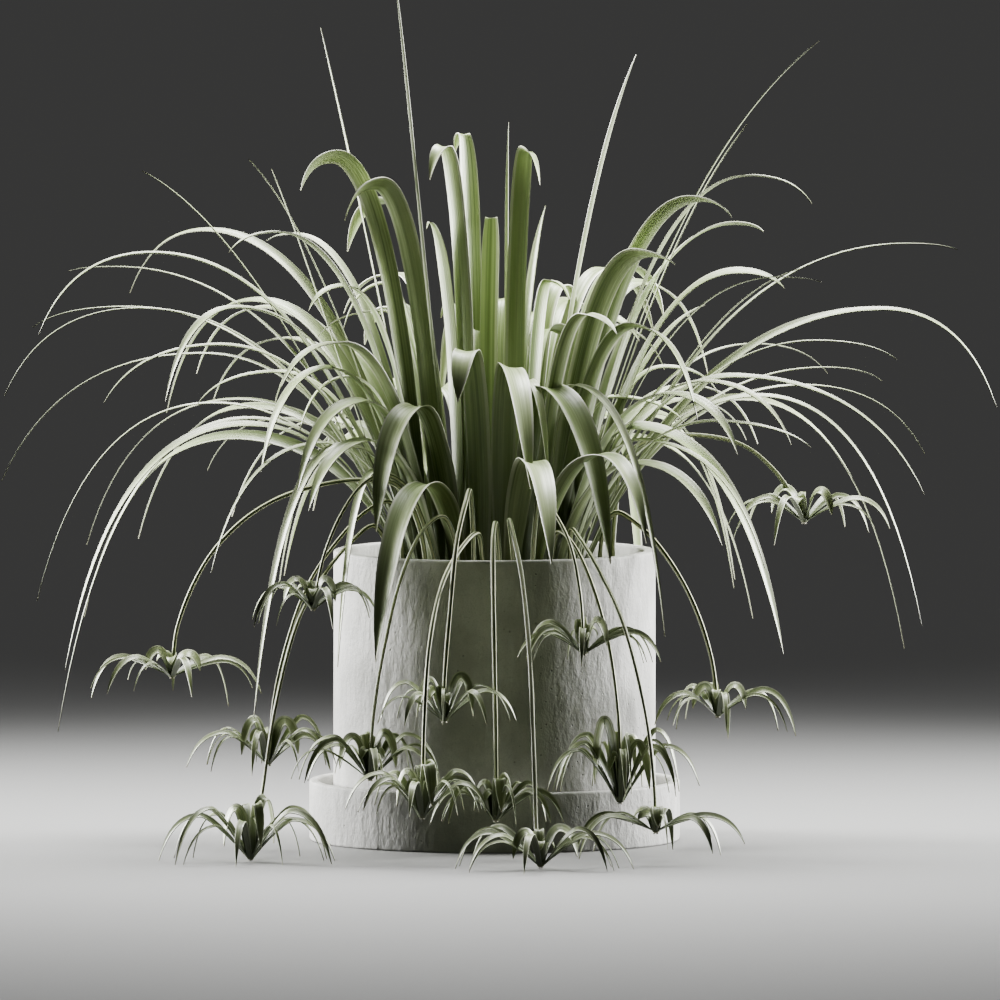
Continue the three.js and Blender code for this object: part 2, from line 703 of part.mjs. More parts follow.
const pottedSpiderPlant = new THREE.Group();
pottedSpiderPlant.add(saucer(), pot(), soil(), leafClump(), ...RUNNERS.map(runnerMesh));

export default pottedSpiderPlant;
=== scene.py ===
"""A potted spider plant: concrete pot and saucer, soil, a clump of striped leaves, and runners.

Metres, +Z up. The origin is the centre of the saucer's underside. An azimuth is in degrees from
+X towards +Y, and the front of the plant faces -Y. Leaf and runner sizes are in millimetres in
the lists, as on the drawing of the part, and are turned into metres where they are used.
"""

import math

import bpy
import numpy as np
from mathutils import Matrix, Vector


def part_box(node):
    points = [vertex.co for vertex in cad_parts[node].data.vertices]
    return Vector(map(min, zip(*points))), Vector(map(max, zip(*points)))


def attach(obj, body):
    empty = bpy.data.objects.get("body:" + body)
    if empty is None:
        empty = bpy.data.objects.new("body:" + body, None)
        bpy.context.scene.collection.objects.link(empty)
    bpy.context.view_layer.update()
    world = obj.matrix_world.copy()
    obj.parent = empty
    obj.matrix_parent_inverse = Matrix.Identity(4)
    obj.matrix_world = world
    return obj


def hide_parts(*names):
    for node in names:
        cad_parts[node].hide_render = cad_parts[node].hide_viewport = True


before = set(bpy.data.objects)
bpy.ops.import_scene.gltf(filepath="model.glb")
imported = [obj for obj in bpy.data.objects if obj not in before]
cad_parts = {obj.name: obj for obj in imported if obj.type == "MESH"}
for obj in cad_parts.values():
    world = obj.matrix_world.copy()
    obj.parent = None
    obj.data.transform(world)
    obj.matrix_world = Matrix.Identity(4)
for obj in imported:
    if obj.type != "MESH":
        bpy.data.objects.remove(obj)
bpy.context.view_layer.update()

MM = 0.001

# ---- Sizes that come from the frame
POT_LOW, POT_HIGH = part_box("pot")
SOIL_LOW, SOIL_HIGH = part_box("soil")
SAUCER_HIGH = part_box("saucer")[1]
POT_RADIUS, POT_BOTTOM, RIM_HEIGHT = POT_HIGH.x, POT_LOW.z, POT_HIGH.z
SOIL_RADIUS, POT_FLOOR, SOIL_TOP = SOIL_HIGH.x, SOIL_LOW.z, SOIL_HIGH.z
SAUCER_RADIUS, SAUCER_HEIGHT = SAUCER_HIGH.x, SAUCER_HIGH.z

# ---- Camera, floor and lights. The picture is 0.745 m wide where the plant stands
FRAME_WIDTH = 0.745
CAMERA_LENS = 1000.0
CAMERA_SENSOR = 36.0
CAMERA_ELEVATION = math.radians(3.9)
CAMERA_AIM = (0.0041, 0.0, 0.2532)
CAMERA_NEAR = 1.0
CAMERA_FAR = 400.0
FLOOR_SIZE = 160
FLOOR_GLOW = 0.05
SKY_LIGHT = 0.02

# ---- How a leaf is built, in millimetres, as in the part
LEAF_ROOT_HEIGHT = 183
LEAF_ROOT_START = 16
LEAF_ROOT_SHARE = 0.3
LEAF_ROOT_LIMIT = 60
ARCH_LEAN = 0.36
ARCH_SPREAD = 0.72
ROOT_SHARE = 0.4
WIDEST_AT = 0.42
TAPER_AHEAD = 0.08
TAPER_LIMITS = (0.4, 0.8)
TIP_BREADTH = 0.02
TIP_FULLNESS = 0.8
SLENDER_BLADE = 8
BROAD_OVER = 8
SIDE_ROLL = 38
SIDE_ROLL_FROM = 60
SIDE_ROLL_OVER = 70
UNROLL_SHARE = 0.75
UNROLL_FROM = 0.45
UNROLL_OVER = 0.3
CHANNEL_DEPTH = 0.11
BLADE_THICKNESS = 0.6
YOUNG_LEAN = 0.72
YOUNG_SPREAD = 0.7
YOUNG_ROLL_SHARE = 1.15
YOUNG_ROOT_SHARE = 0.65
YOUNG_ROOT_REACH = 2.6
OUTER_SHARE = 0.65
OUTER_BREADTH = 0.4
INNER_LEAN = 0.3
INNER_REACH = 0.38
INNER_RISE = 1.05
INNER_LIFT = 4
INNER_WIDTH = 1.6
INNER_TIP = 0.2
SIDEWAYS_PULL = 20
SURFACE_CLEARANCE = 0.8
WALL_CLEARANCE = 5
STEM_RADIUS = 1.9
STEM_UPRIGHT_TO = 200
GOLDEN_ANGLE = 137.508
WIDE_BLADE = 8
# Painted sheen: blades narrower than the first width, in mm, are tinted cream-white, fully so over
# the second.
PAINTED_SHEEN_BELOW = 15
PAINTED_SHEEN_OVER = 11
RIBS_WIDTH = 1.5
FEWEST_RIBS = 3.0
BLADE_TWIST = (-9, 9)
RIPPLE_WAVES = (2.0, 5.0)
RIPPLE_DEPTH = 0.05
SWAY = 0.012
BENT_OVER = 0.01
UPRIGHT_REACH = 82
BLADE_SMOOTHING = 50
LOOSE_SMOOTHING = 60
LEAF_SEED = 7
FAMILY_SEED = 101
NO_MARGIN = 2.0
STEM_STRIPES = 4
STEM_RIBS = 8.0
STEM_TAPER = 0.18
STEM_KNOBS = (0.05, 9)
STEM_FLATTENING = 0.78
BLOCKED_RISE = 0.35
YOUNG_TILT = (-12, 12)
YOUNG_RIPPLE = 0.5
YOUNG_STEPS = 16
YOUNG_RANGES = {
    "reach": (0.75, 1), "rise": (0.8, 1.15), "hang": (0.3, 1), "apex": (0.5, 0.62),
    "width": (0.8, 1.1),
}
YOUNG_SEED = 211
RUNNER_SEED = 401

# Two kinds of young leaf that only the scene has: thin outer ones, and two that still stand.
THREAD_TURN = 40
THREAD_RANGES = {
    "reach": (0.7, 0.95), "rise": (0.7, 1.1), "hang": (0.2, 0.9), "apex": (0.5, 0.65),
    "width": (1.8, 2.6),
}
HEART_COUNT = 2
HEART_TURN = (60, 117)
HEART_ROOT = 1.2
HEART_LEAN = 0.2
HEART_WIDTH = 1.3
HEART_BASE = 5
HEART_APEX = 0.5
HEART_TIP = 0.65
HEART_RANGES = {"reach": (9, 15), "height": (0.5, 0.8)}

# The neck that a young plant's leaves grow from, and the stubs of its first roots.
NECK_TOP = 4.0
NECK_BOTTOM = 2.6
NECK_HEIGHT = 4.6
NECK_LIFT = 0.7
NECK_BEVEL = 0.6
NECK_RIBS = 6.0
NUB_COUNT = 6
NUB_RADII = (0.7, 0.4)
NUB_RING = 1.2
NUB_DROP = 1.9
NUB_LOWEST = 1.4
NUB_RANGES = {"turn": (-20, 20), "length": (1.6, 2.8), "tilt": (0.2, 0.8)}

# Azimuth, reach and height of the top of the arch, reach and height of the tip, width, and where
# it isn't 0 the roll of the blade about its own length.
ARCHING_LEAVES = [
    [152, 243, 448, 310, 399, 8], [192, 262, 441, 346, 381, 8], [159, 300, 421, 342, 417, 2.4],
    [215, 200, 460, 240, 446, 9], [205, 131, 512, 159, 488, 14, 52],
    [215, 106, 492, 136, 466, 16, 38], [150, 96, 473, 127, 435, 15, 30],
    [235, 67, 520, 84, 496, 15], [122, 44, 524, 56, 510, 16], [94, 26, 462, 44, 452, 13],
    [222, 65, 463, 68, 458, 13], [146, 180, 446, 206, 440, 6], [171, 276, 395, 349, 379, 2.4],
    [188, 268, 399, 368, 334, 2.4], [172, 218, 361, 372, 264, 2.4], [208, 218, 403, 276, 335, 11],
    [158, 190, 398, 265, 312, 11], [200, 221, 374, 308, 333, 8], [146, 204, 390, 270, 338, 10],
    [222, 159, 377, 212, 347, 14], [210, 142, 356, 200, 281, 14], [190, 165, 351, 224, 328, 7],
    [151, 204, 317, 306, 214, 8], [201, 199, 314, 341, 135, 10], [159, 200, 297, 330, 157, 10],
    [193, 188, 317, 333, 86, 5], [153, 208, 323, 344, 209, 2.4], [185, 210, 327, 342, 180, 2.4],
    [235, 98, 328, 153, 238, 20], [243, 117, 272, 194, 145, 20], [218, 126, 332, 185, 268, 15],
    [226, 136, 304, 198, 255, 15], [149, 118, 306, 189, 181, 7], [213, 134, 299, 213, 99, 9],
    [141, 158, 307, 254, 230, 5], [211, 152, 301, 245, 208, 6], [150, 180, 308, 249, 267, 5],
    [218, 113, 280, 148, 135, 8], [257, 94, 370, 121, 334, 18], [279, 92, 358, 172, 273, 18, -8],
    [290, 71, 347, 117, 272, 8], [280, 152, 292, 242, 222, 19], [303, 44, 516, 62, 491, 14, -22],
    [328, 48, 418, 66, 405, 14], [333, 215, 501, 264, 481, 8], [322, 191, 484, 223, 472, 14, -26],
    [31, 209, 453, 235, 447, 12, -25], [315, 156, 443, 189, 437, 18, -34],
    [344, 190, 427, 224, 415, 12, 20], [9, 310, 442, 350, 437, 2.4],
    [335, 235, 426, 267, 423, 2.4], [3, 288, 395, 375, 321, 8], [316, 144, 389, 209, 323, 13, -26],
    [300, 136, 399, 181, 387, 12], [26, 213, 364, 278, 340, 2.4], [343, 253, 377, 312, 364, 2.4],
    [19, 258, 347, 307, 336, 2.4], [341, 190, 350, 337, 265, 8], [16, 237, 335, 335, 282, 2.4],
    [327, 186, 348, 262, 304, 10], [318, 178, 340, 242, 298, 14], [38, 185, 331, 251, 285, 8],
    [30, 160, 323, 218, 291, 8], [324, 207, 320, 289, 304, 8], [24, 196, 325, 337, 132, 6],
    [344, 206, 335, 330, 166, 5], [300, 84, 342, 172, 216, 21], [308, 97, 344, 205, 163, 8],
    [331, 124, 312, 245, 147, 15], [296, 191, 298, 256, 237, 14], [315, 154, 288, 238, 231, 15],
    [324, 134, 303, 248, 212, 9], [35, 121, 296, 237, 155, 6],
]

# Azimuth, reach and height of the bend, reach and height of the tip, width.
UPRIGHT_LEAVES = [
    [200, 97, 435, 137, 608, 3.4], [232, 84, 489, 120, 652, 2.4], [170, 122, 440, 186, 506, 2.4],
    [190, 142, 440, 168, 502, 2.4], [176, 168, 448, 263, 498, 2.4], [80, 18, 440, 60, 532, 2.4],
    [42, 26, 410, 51, 471, 8], [315, 74, 470, 148, 591, 4.4], [346, 120, 500, 248, 599, 3.6],
    [16, 120, 440, 196, 531, 3], [28, 113, 376, 178, 394, 9], [5, 140, 400, 228, 425, 2.4],
]

# Leaves behind and between those: how many, the first and the last azimuth, the ranges of the
# reach and height of the top of the arch, of how far out and down the tip lies from there, of
# width and roll, and where the first leaf stands.
LEAF_FAMILIES = [
    [7, 35, 145, [60, 120], [360, 425], [20, 60], [15, 45], [12, 18], [-15, 15], 0.1],
    [8, 22, 158, [120, 180], [350, 430], [50, 100], [30, 90], [8, 15], [-15, 15], 0.6],
    [8, 28, 152, [110, 165], [285, 335], [70, 130], [70, 190], [7, 15], [-15, 15], 0.35],
    [4, 60, 125, [30, 60], [330, 400], [14, 30], [6, 18], [10, 15], [-10, 10], 0.8],
    [4, -40, 28, [80, 130], [330, 410], [30, 60], [15, 45], [9, 14], [-10, 10], 0.2],
    [4, 152, 218, [80, 130], [340, 420], [30, 60], [15, 45], [9, 14], [-10, 10], 0.5],
]

# Each runner's path from its hole in the soil to the young plant, how many leaves that has, how
# far they reach, how high they rise, how far their tips hang below their roots, their width, and
# the azimuth of the first one.
RUNNER_PARTS = ("path", "leaves", "reach", "rise", "hang", "width", "turn")
RUNNERS = [dict(zip(RUNNER_PARTS, row)) for row in [
    [[[-50, -78, 174], [-57, -74, 242], [-72, -64, 268], [-100, -54, 272], [-136, -46, 266],
      [-167, -38, 254], [-193, -31, 235], [-216, -25, 207], [-236, -21, 160], [-240, -20, 124]],
     8, 68, 13, 26, 5.5, 90],
    [[[-42, -82, 174], [-52, -86, 240], [-66, -92, 270], [-82, -100, 279], [-97, -112, 273],
      [-112, -128, 254], [-126, -142, 222], [-134, -149, 184]], 8, 58, 16, 14, 5, 90],
    [[[-68, -58, 174], [-70, -59, 235], [-77, -65, 256], [-92, -72, 252], [-115, -78, 230],
      [-140, -82, 192], [-162, -85, 120], [-168, -86, 64]], 10, 62, 25, 6, 5, 348],
    [[[-26, -88, 174], [-30, -94, 232], [-38, -103, 248], [-52, -117, 240], [-68, -131, 208],
      [-82, -144, 152], [-90, -150, 100], [-92, -150, 58]], 11, 62, 28, 4, 5, 168],
    [[[-78, -44, 174], [-80, -47, 222], [-90, -55, 238], [-107, -68, 226], [-126, -84, 204],
      [-145, -104, 172], [-162, -128, 110], [-172, -150, 46], [-178, -172, 8], [-180, -196, 3.5],
      [-180, -214, 4]], 11, 70, 34, 8, 5, 126],
    [[[-15, -91, 174], [-16, -100, 240], [-18, -113, 268], [-21, -135, 262], [-28, -160, 232],
      [-33, -178, 182], [-37, -188, 132], [-37, -190, 104]], 8, 56, 24, 3, 5, 108],
    [[[-7, -88, 174], [-9, -98, 218], [-12, -113, 236], [-22, -134, 230], [-38, -168, 204],
      [-48, -206, 160], [-52, -228, 100], [-53, -235, 36]], 11, 58, 31, -6, 5, 126],
    [[[4, -90, 174], [3, -98, 226], [1, -112, 244], [-1, -134, 236], [-1, -156, 202],
      [0, -174, 142], [1, -184, 80], [1, -186, 30]], 9, 52, 25, 4, 5, 36],
    [[[28, -84, 174], [30, -91, 240], [34, -102, 264], [43, -120, 254], [56, -142, 230],
      [64, -158, 190], [66, -165, 152]], 8, 58, 17, 10, 5, 216],
    [[[42, -79, 174], [43, -86, 220], [47, -97, 236], [57, -114, 230], [70, -134, 206],
      [84, -154, 160], [92, -164, 100], [93, -166, 42]], 12, 60, 46, -12, 5, 30],
    [[[78, -40, 174], [81, -42, 232], [90, -45, 247], [107, -49, 238], [124, -53, 220],
      [145, -57, 186], [161, -60, 140], [166, -61, 98]], 9, 62, 17, 22, 5, 84],
    [[[56, -71, 174], [56, -82, 222], [57, -97, 238], [64, -122, 232], [78, -152, 210],
      [96, -190, 172], [112, -222, 108], [118, -238, 56], [119, -242, 26]],
     8, 66, 12, 24, 5, 30],
    [[[15, -89, 174], [13, -98, 228], [11, -110, 246], [14, -130, 236], [20, -156, 208],
      [26, -192, 150], [29, -220, 80], [31, -240, 22], [33, -258, 4], [34, -284, 4]],
     10, 72, 24, 10, 5, 210],
    [[[88, 18, 174], [90, 22, 240], [97, 23, 282], [116, 24, 297], [150, 25, 300],
      [186, 25, 292], [210, 23, 272], [226, 21, 248], [231, 20, 237]], 8, 66, 18, 16, 5, 66],
]]


# ---- Small helpers
def seeded_draw(seed):
    """A repeatable draw: the same seed always gives the same leaves, as in the part."""
    state = [seed]

    def draw(low, high):
        state[0] = (state[0] * 16807) % 2147483647
        return low + (high - low) * (state[0] / 2147483647)

    return draw


def deselect_all():
    bpy.ops.object.select_all(action="DESELECT")


def use_only(obj):
    deselect_all()
    obj.select_set(True)
    bpy.context.view_layer.objects.active = obj


def coordinates(obj):
    flat = np.empty(len(obj.data.vertices) * 3, np.float32)
    obj.data.vertices.foreach_get("co", flat)
    return flat.reshape(-1, 3).astype(float)


def set_coordinates(obj, points):
    obj.data.vertices.foreach_set("co", np.asarray(points, np.float32).ravel())
    obj.data.update()


def apply_modifier(obj, kind, **settings):
    use_only(obj)
    modifier = obj.modifiers.new(kind.title(), kind)
    for name, value in settings.items():
        setattr(modifier, name, value)
    bpy.ops.object.modifier_apply(modifier=modifier.name)


SELECT_ALL = (bpy.ops.mesh.select_all, {"action": "SELECT"})
SELECT_NONE = (bpy.ops.mesh.select_all, {"action": "DESELECT"})
FACE_OUTWARD = (bpy.ops.mesh.normals_make_consistent, {"inside": False})


def in_edit_mode(obj, *steps):
    """Runs edit-mode operators on everything in obj. A step is (operator, settings)."""
    use_only(obj)
    bpy.ops.object.mode_set(mode="EDIT")
    bpy.ops.mesh.select_all(action="SELECT")
    for operator, settings in steps:
        operator(**settings)
    bpy.ops.object.mode_set(mode="OBJECT")


def added(operator, **settings):
    """The object that a primitive operator adds, made with nothing else selected."""
    deselect_all()
    operator(**settings)
    return bpy.context.object


def joined(name, parts):
    """Several meshes made one piece."""
    deselect_all()
    for part in parts:
        part.select_set(True)
    bpy.context.view_layer.objects.active = parts[0]
    bpy.ops.object.join()
    parts[0].name = name
    parts[0].data.name = name
    return parts[0]


def smooth(obj, angle=40):
    use_only(obj)
    bpy.ops.object.shade_smooth_by_angle(angle=math.radians(angle))


def finished(obj, material, slot, *nodes):
    """Gives a piece its finish and its place on the frame, and hides the nodes that it stands for.
    """
    if material:
        obj.data.materials.clear()
        obj.data.materials.append(material)
    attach(obj, "root")
    if nodes:
        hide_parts(*nodes)
    return obj


# ---- Shader nodes
def feed(tree, socket, value):
    """Links a node's output to a socket, or sets the socket to a constant."""
    if isinstance(value, bpy.types.NodeSocket):
        tree.links.new(value, socket)
    else:
        socket.default_value = value


def add_node(tree, kind, inputs=None, **settings):
    node = tree.nodes.new(kind)
    for name, value in settings.items():
        setattr(node, name, value)
    for name, value in (inputs or {}).items():
        feed(tree, node.inputs[name], value)
    return node


def math_node(tree, operation, a, b=0.0):
    return add_node(tree, "ShaderNodeMath", {0: a, 1: b}, operation=operation).outputs[0]


def times(tree, a, b):
    return math_node(tree, "MULTIPLY", a, b)


def plus(tree, a, b):
    return math_node(tree, "ADD", a, b)


def minus(tree, a, b):
    return math_node(tree, "SUBTRACT", a, b)


def combined(tree, x, y, z):
    return add_node(tree, "ShaderNodeCombineXYZ", {0: x, 1: y, 2: z}).outputs[0]


def noise(tree, at, scale, detail, roughness=0.5):
    return add_node(tree, "ShaderNodeTexNoise", {
        "Vector": at, "Scale": scale, "Detail": detail, "Roughness": roughness,
    }).outputs["Fac"]


def attribute(tree, name):
    return add_node(tree, "ShaderNodeAttribute", attribute_name=name).outputs["Fac"]


def object_place(tree):
    return add_node(tree, "ShaderNodeTexCoord").outputs["Object"]


def along_and_across(tree):
    """The two directions of a leaf's or stem's UV map."""
    uv = add_node(tree, "ShaderNodeUVMap", uv_map="UVMap")
    return add_node(tree, "ShaderNodeSeparateXYZ", {0: uv.outputs[0]}).outputs[:2]


def ramp(tree, factor, low, high):
    """0 below low, 1 above high, smooth between."""
    node = add_node(tree, "ShaderNodeMapRange", {
        "Value": factor, "From Min": low, "From Max": high,
    }, interpolation_type="SMOOTHSTEP")
    return node.outputs["Result"]


def blended(tree, factor, a, b):
    node = add_node(tree, "ShaderNodeMix", data_type="RGBA")
    for name, value in (("Factor", factor), ("A", a), ("B", b)):
        feed(tree, next(s for s in node.inputs if s.name == name and s.enabled), value)
    return next(s for s in node.outputs if s.enabled)


def layered(tree, colour, *layers):
    """Lays tints over a colour, each through a mask and as strongly as its share says."""
    for mask, share, tint in layers:
        colour = blended(tree, times(tree, mask, share), colour, tint)
    return colour


def new_group(name, inputs, outputs):
    """A node group that takes in and puts out plain values."""
    tree = bpy.data.node_groups.new(name, "ShaderNodeTree")
    for socket, default in inputs.items():
        made = tree.interface.new_socket(socket, in_out="INPUT", socket_type="NodeSocketFloat")
        made.default_value = default
    for socket in outputs:
        tree.interface.new_socket(socket, in_out="OUTPUT", socket_type="NodeSocketFloat")
    given = tree.nodes.new("NodeGroupInput").outputs
    return tree, given, tree.nodes.new("NodeGroupOutput").inputs


def placed_group(tree, group, **inputs):
    return add_node(tree, "ShaderNodeGroup", inputs, node_tree=group).outputs


def new_material(name, **constants):
    material = bpy.data.materials.new(name)
    material.use_nodes = True
    shader = material.node_tree.nodes["Principled BSDF"]
    for socket, value in constants.items():
        shader.inputs[socket.replace("_", " ")].default_value = value
    return material, material.node_tree, shader


def set_surface(tree, shader, colour, height=None, strength=0.0, distance=0.0):
    """Gives a shader its colour and, where there is a height, its bumps."""
    feed(tree, shader.inputs["Base Color"], colour)
    if height is not None:
        bump = add_node(tree, "ShaderNodeBump", {
            "Height": height, "Strength": strength, "Distance": distance})
        tree.links.new(bump.outputs["Normal"], shader.inputs["Normal"])


def set_roughness(tree, shader, mask, low, high):
    rough = add_node(tree, "ShaderNodeMapRange", {"Value": mask, "To Min": low, "To Max": high})
    tree.links.new(rough.outputs["Result"], shader.inputs["Roughness"])


def leaf_stripes():
    """Fine lengthwise stripes of a leaf or stem, from its UV map: u runs along, v across."""
    tree, given, out = new_group(
        "leaf_stripes", {"Ribs": 10.0, "Tone": 0.5, "Margin": 0.8},
        ("Streaks", "Broad", "Edge", "Along", "Ridge"))
    along, across = along_and_across(tree)
    shifted = times(tree, given["Tone"], 37.0)
    ribs = times(tree, across, given["Ribs"])
    fine = noise(tree, combined(tree, times(tree, along, 1.6), ribs, shifted), 1.0, 3.0, 0.62)
    broad_at = combined(tree, times(tree, along, 0.7), times(tree, across, 3.2),
                        plus(tree, shifted, 11.0))
    broad = noise(tree, broad_at, 1.0, 1.0)
    lopsided = times(tree, minus(tree, math_node(tree, "FRACT", shifted), 0.5), 0.16)
    off_centre = math_node(tree, "ABSOLUTE", minus(tree, plus(tree, across, lopsided), 0.5))
    ragged = plus(tree, times(tree, off_centre, 2.0), times(tree, fine, 0.12))
    edge = ramp(tree, ragged, given["Margin"], plus(tree, given["Margin"], 0.16))
    ridges = math_node(tree, "SINE", times(tree, ribs, 2 * math.pi))
    for name, socket in (("Streaks", ramp(tree, fine, 0.4, 0.62)),
                         ("Broad", ramp(tree, broad, 0.4, 0.62)),
                         ("Edge", edge), ("Along", along), ("Ridge", ridges)):
        tree.links.new(socket, out[name])
    return tree


def surface_grain():
    """Coarse and fine mottling of a cast or crumbly surface, from Object coordinates."""
    tree, given, out = new_group(
        "surface_grain", {"Coarse": 20.0, "Fine": 400.0, "Stretch": 1.0},
        ("Mottle", "Grain", "Streak"))
    where = object_place(tree)
    drawn_out = add_node(tree, "ShaderNodeVectorMath", {
        0: where, 1: combined(tree, 1.0, 1.0, given["Stretch"]),
    }, operation="MULTIPLY").outputs[0]
    for name, at, scale, detail in (("Mottle", where, given["Coarse"], 4.0),
                                    ("Grain", where, given["Fine"], 2.0),
                                    ("Streak", drawn_out, given["Coarse"], 5.0)):
        tree.links.new(noise(tree, at, scale, detail, 0.6), out[name])
    return tree


LEAF_STRIPES = leaf_stripes()
SURFACE_GRAIN = surface_grain()


def stripes_and_tone(tree, margin):
    tone = attribute(tree, "tone")
    stripes = placed_group(tree, LEAF_STRIPES, Ribs=attribute(tree, "ribs"), Tone=tone,
                           Margin=margin)
    return stripes, tone


def grain_of(tree, coarse, fine, stretch=1.0):
    return placed_group(tree, SURFACE_GRAIN, Coarse=coarse, Fine=fine, Stretch=stretch)


def leaf_material(name, green, dark, pale, cream, margin, dull_tip, painted_root_shade, root_shade_span, silvery,
                  painted_end_light):
    """A satin leaf: green with darker and paler lengthwise stripes and a cream margin.

    Slender blades get painted sheen; all get painted shade at the root and painted light to the
    end.
    """
    material, tree, shader = new_material(
        name, Specular_IOR_Level=0.6, Coat_Weight=0.4, Coat_Roughness=0.38)
    stripes, tone = stripes_and_tone(tree, margin)
    # How much painted sheen, a cream-white tint, the blade carries.
    silver = attribute(tree, "silver")
    along, streaks = stripes["Along"], stripes["Streaks"]
    toned = blended(tree, ramp(tree, tone, 0.1, 0.95), green, pale)
    colour = layered(
        tree, toned,
        (streaks, 0.9, dark),
        (stripes["Broad"], 0.6, pale),
        # Painted light: the blade is made paler towards its drooping end, where it catches more
        # light.
        (ramp(tree, along, 0.45, 0.9), painted_end_light, pale),
        # Painted sheen: slender blades are tinted cream-white where a glossy leaf would shine.
        (silver, silvery, cream),
        (stripes["Edge"], 0.85, cream),
        (ramp(tree, along, 0.965, 1.0), 1.0, dull_tip),
        # Painted shade: the blade darkens towards its root, down inside the clump.
        (ramp(tree, minus(tree, 1.0, along), *root_shade_span), 0.8, painted_root_shade),
    )
    set_roughness(tree, shader, streaks, 0.4, 0.52)
    smooth_part = math_node(tree, "MAXIMUM", silver, ramp(tree, along, 0.6, 0.95))
    ridges = times(tree, minus(tree, 1.0, smooth_part), stripes["Ridge"])
    set_surface(tree, shader, colour, ridges, 0.25, 0.00012)
    return material


def stem_material():
    """A runner's stem: dark green with cream lengthwise stripes."""
    material, tree, shader = new_material("runner_stem", Roughness=0.42, Specular_IOR_Level=0.5)
    stripes, tone = stripes_and_tone(tree, NO_MARGIN)
    across = along_and_across(tree)[1]
    wave = math_node(tree, "SINE", times(tree, plus(tree, across, tone),
                                         STEM_STRIPES * 2 * math.pi))
    jitter = times(tree, stripes["Streaks"], 0.25)
    mask = ramp(tree, minus(tree, wave, jitter), -0.45, -0.05)
    colour = blended(tree, mask, (0.07, 0.10, 0.028, 1), (0.58, 0.60, 0.41, 1))
    set_surface(tree, shader, colour, wave, 0.3, 0.0002)
    return material


def speckled_material(name, coarse, dark, light, **constants):
    """One colour that turns into another in specks: root stubs, and the grit in the soil."""
    material, tree, shader = new_material(name, **constants)
    grain = grain_of(tree, coarse, 1500.0)
    set_surface(tree, shader, blended(tree, grain["Mottle"], dark, light))
    return material


def concrete_material():
    """Smooth cast concrete: pale grey, clouded, with upright streaks, dents and air pits darkened
    by painted shade.
    """
    material, tree, shader = new_material("cast_concrete", Specular_IOR_Level=0.4)
    grain = grain_of(tree, 22.0, 900.0, 0.22)
    dents = grain_of(tree, 95.0, 330.0, 0.45)
    pits_at = add_node(tree, "ShaderNodeTexVoronoi", {
        "Vector": object_place(tree), "Scale": 260.0}).outputs
    sizes = add_node(tree, "ShaderNodeSeparateColor", {0: pits_at["Color"]}).outputs[0]
    patches = ramp(tree, grain["Streak"], 0.42, 0.6)
    reach = times(tree, times(tree, ramp(tree, sizes, 0.55, 1.0), patches), 0.3)
    pit = ramp(tree, minus(tree, reach, pits_at["Distance"]), 0.0, 0.12)
    cloud = blended(tree, ramp(tree, grain["Mottle"], 0.35, 0.68),
                    (0.50, 0.50, 0.475, 1), (0.66, 0.655, 0.63, 1))
    colour = layered(
        tree, cloud,
        (ramp(tree, grain["Streak"], 0.5, 0.7), 0.6, (0.40, 0.40, 0.375, 1)),
        (ramp(tree, grain["Grain"], 0.45, 0.8), 0.35, (0.34, 0.335, 0.315, 1)),
        # Painted shade: the air pits are darkened inside.
        (pit, 0.55, (0.16, 0.16, 0.15, 1)),
    )
    set_roughness(tree, shader, grain["Mottle"], 0.55, 0.8)
    height = plus(tree, times(tree, dents["Streak"], 2.2), times(tree, dents["Grain"], 0.5))
    height = plus(tree, height, times(tree, grain["Grain"], 0.12))
    set_surface(tree, shader, colour, minus(tree, height, pit), 0.55, 0.0012)
    return material


def soil_material():
    material, tree, shader = new_material("potting_soil", Roughness=0.95, Specular_IOR_Level=0.25)
    grain = grain_of(tree, 60.0, 700.0)
    damp = blended(tree, ramp(tree, grain["Mottle"], 0.35, 0.65),
                   (0.022, 0.014, 0.009, 1), (0.075, 0.05, 0.032, 1))
    crumb = blended(tree, ramp(tree, grain["Grain"], 0.5, 0.75), damp, (0.13, 0.095, 0.065, 1))
    set_surface(tree, shader, crumb, grain["Grain"], 0.8, 0.0012)
    return material


def floor_material():
    """Pale and matt. A faint even glow stands for the studio's light on the floor far behind."""
    material = new_material(
        "pale_floor", Roughness=0.7, Specular_IOR_Level=0.2, Base_Color=(0.28, 0.28, 0.275, 1),
        Emission_Color=(1, 1, 0.99, 1), Emission_Strength=FLOOR_GLOW)[0]
    material.cycles.emission_sampling = "NONE"
    return material


# ---- Pot, saucer and soil: an outline of the wall, spun round the middle
SPIN_STEPS = 144
WALL_STEP = 0.009
CORNER_STEPS = 4
SAUCER_WALL = 0.007
SAUCER_FILLET = 0.004
POT_WALL = 0.009
POT_FILLET = 0.003
EDGE_ROUNDING = 0.0018
DRAIN_RADIUS = 0.010
DRAIN_ROUNDING = 0.001
UNEVENNESS = 0.0006
WELD_DISTANCE = 0.00002
SOIL_STEP = 0.004
SOIL_ROUNDING = 0.003
CRUMBLY_DEPTH = 0.012
CRUMBS = 260
CRUMB_SIZES = (0.0012, 0.0034)
GRIT_EVERY = 5
SOIL_SEED = 31


def rounded_outline(corners):
    """Points of a closed outline whose corners (radius out, height, rounding) are arcs."""
    points = []
    for i, (x, z, rounding) in enumerate(corners):
        here = np.array([x, z])
        if rounding == 0:
            points.append(here)
            continue
        before = np.array(corners[i - 1][:2]) - here
        after = np.array(corners[(i + 1) % len(corners)][:2]) - here
        start = here + before / np.linalg.norm(before) * rounding
        end = here + after / np.linalg.norm(after) * rounding
        points += list(quadratic(start, here, end, CORNER_STEPS))
    return points


def divided(points, longest, closed):
    """The same outline with its long stretches cut into short ones."""
    out = []
    for a, b in zip(points, points[1:] + (points[:1] if closed else [])):
        pieces = max(1, int(np.linalg.norm(b - a) / longest))
        out += [a + (b - a) * k / pieces for k in range(pieces)]
    return out if closed else out + [points[-1]]


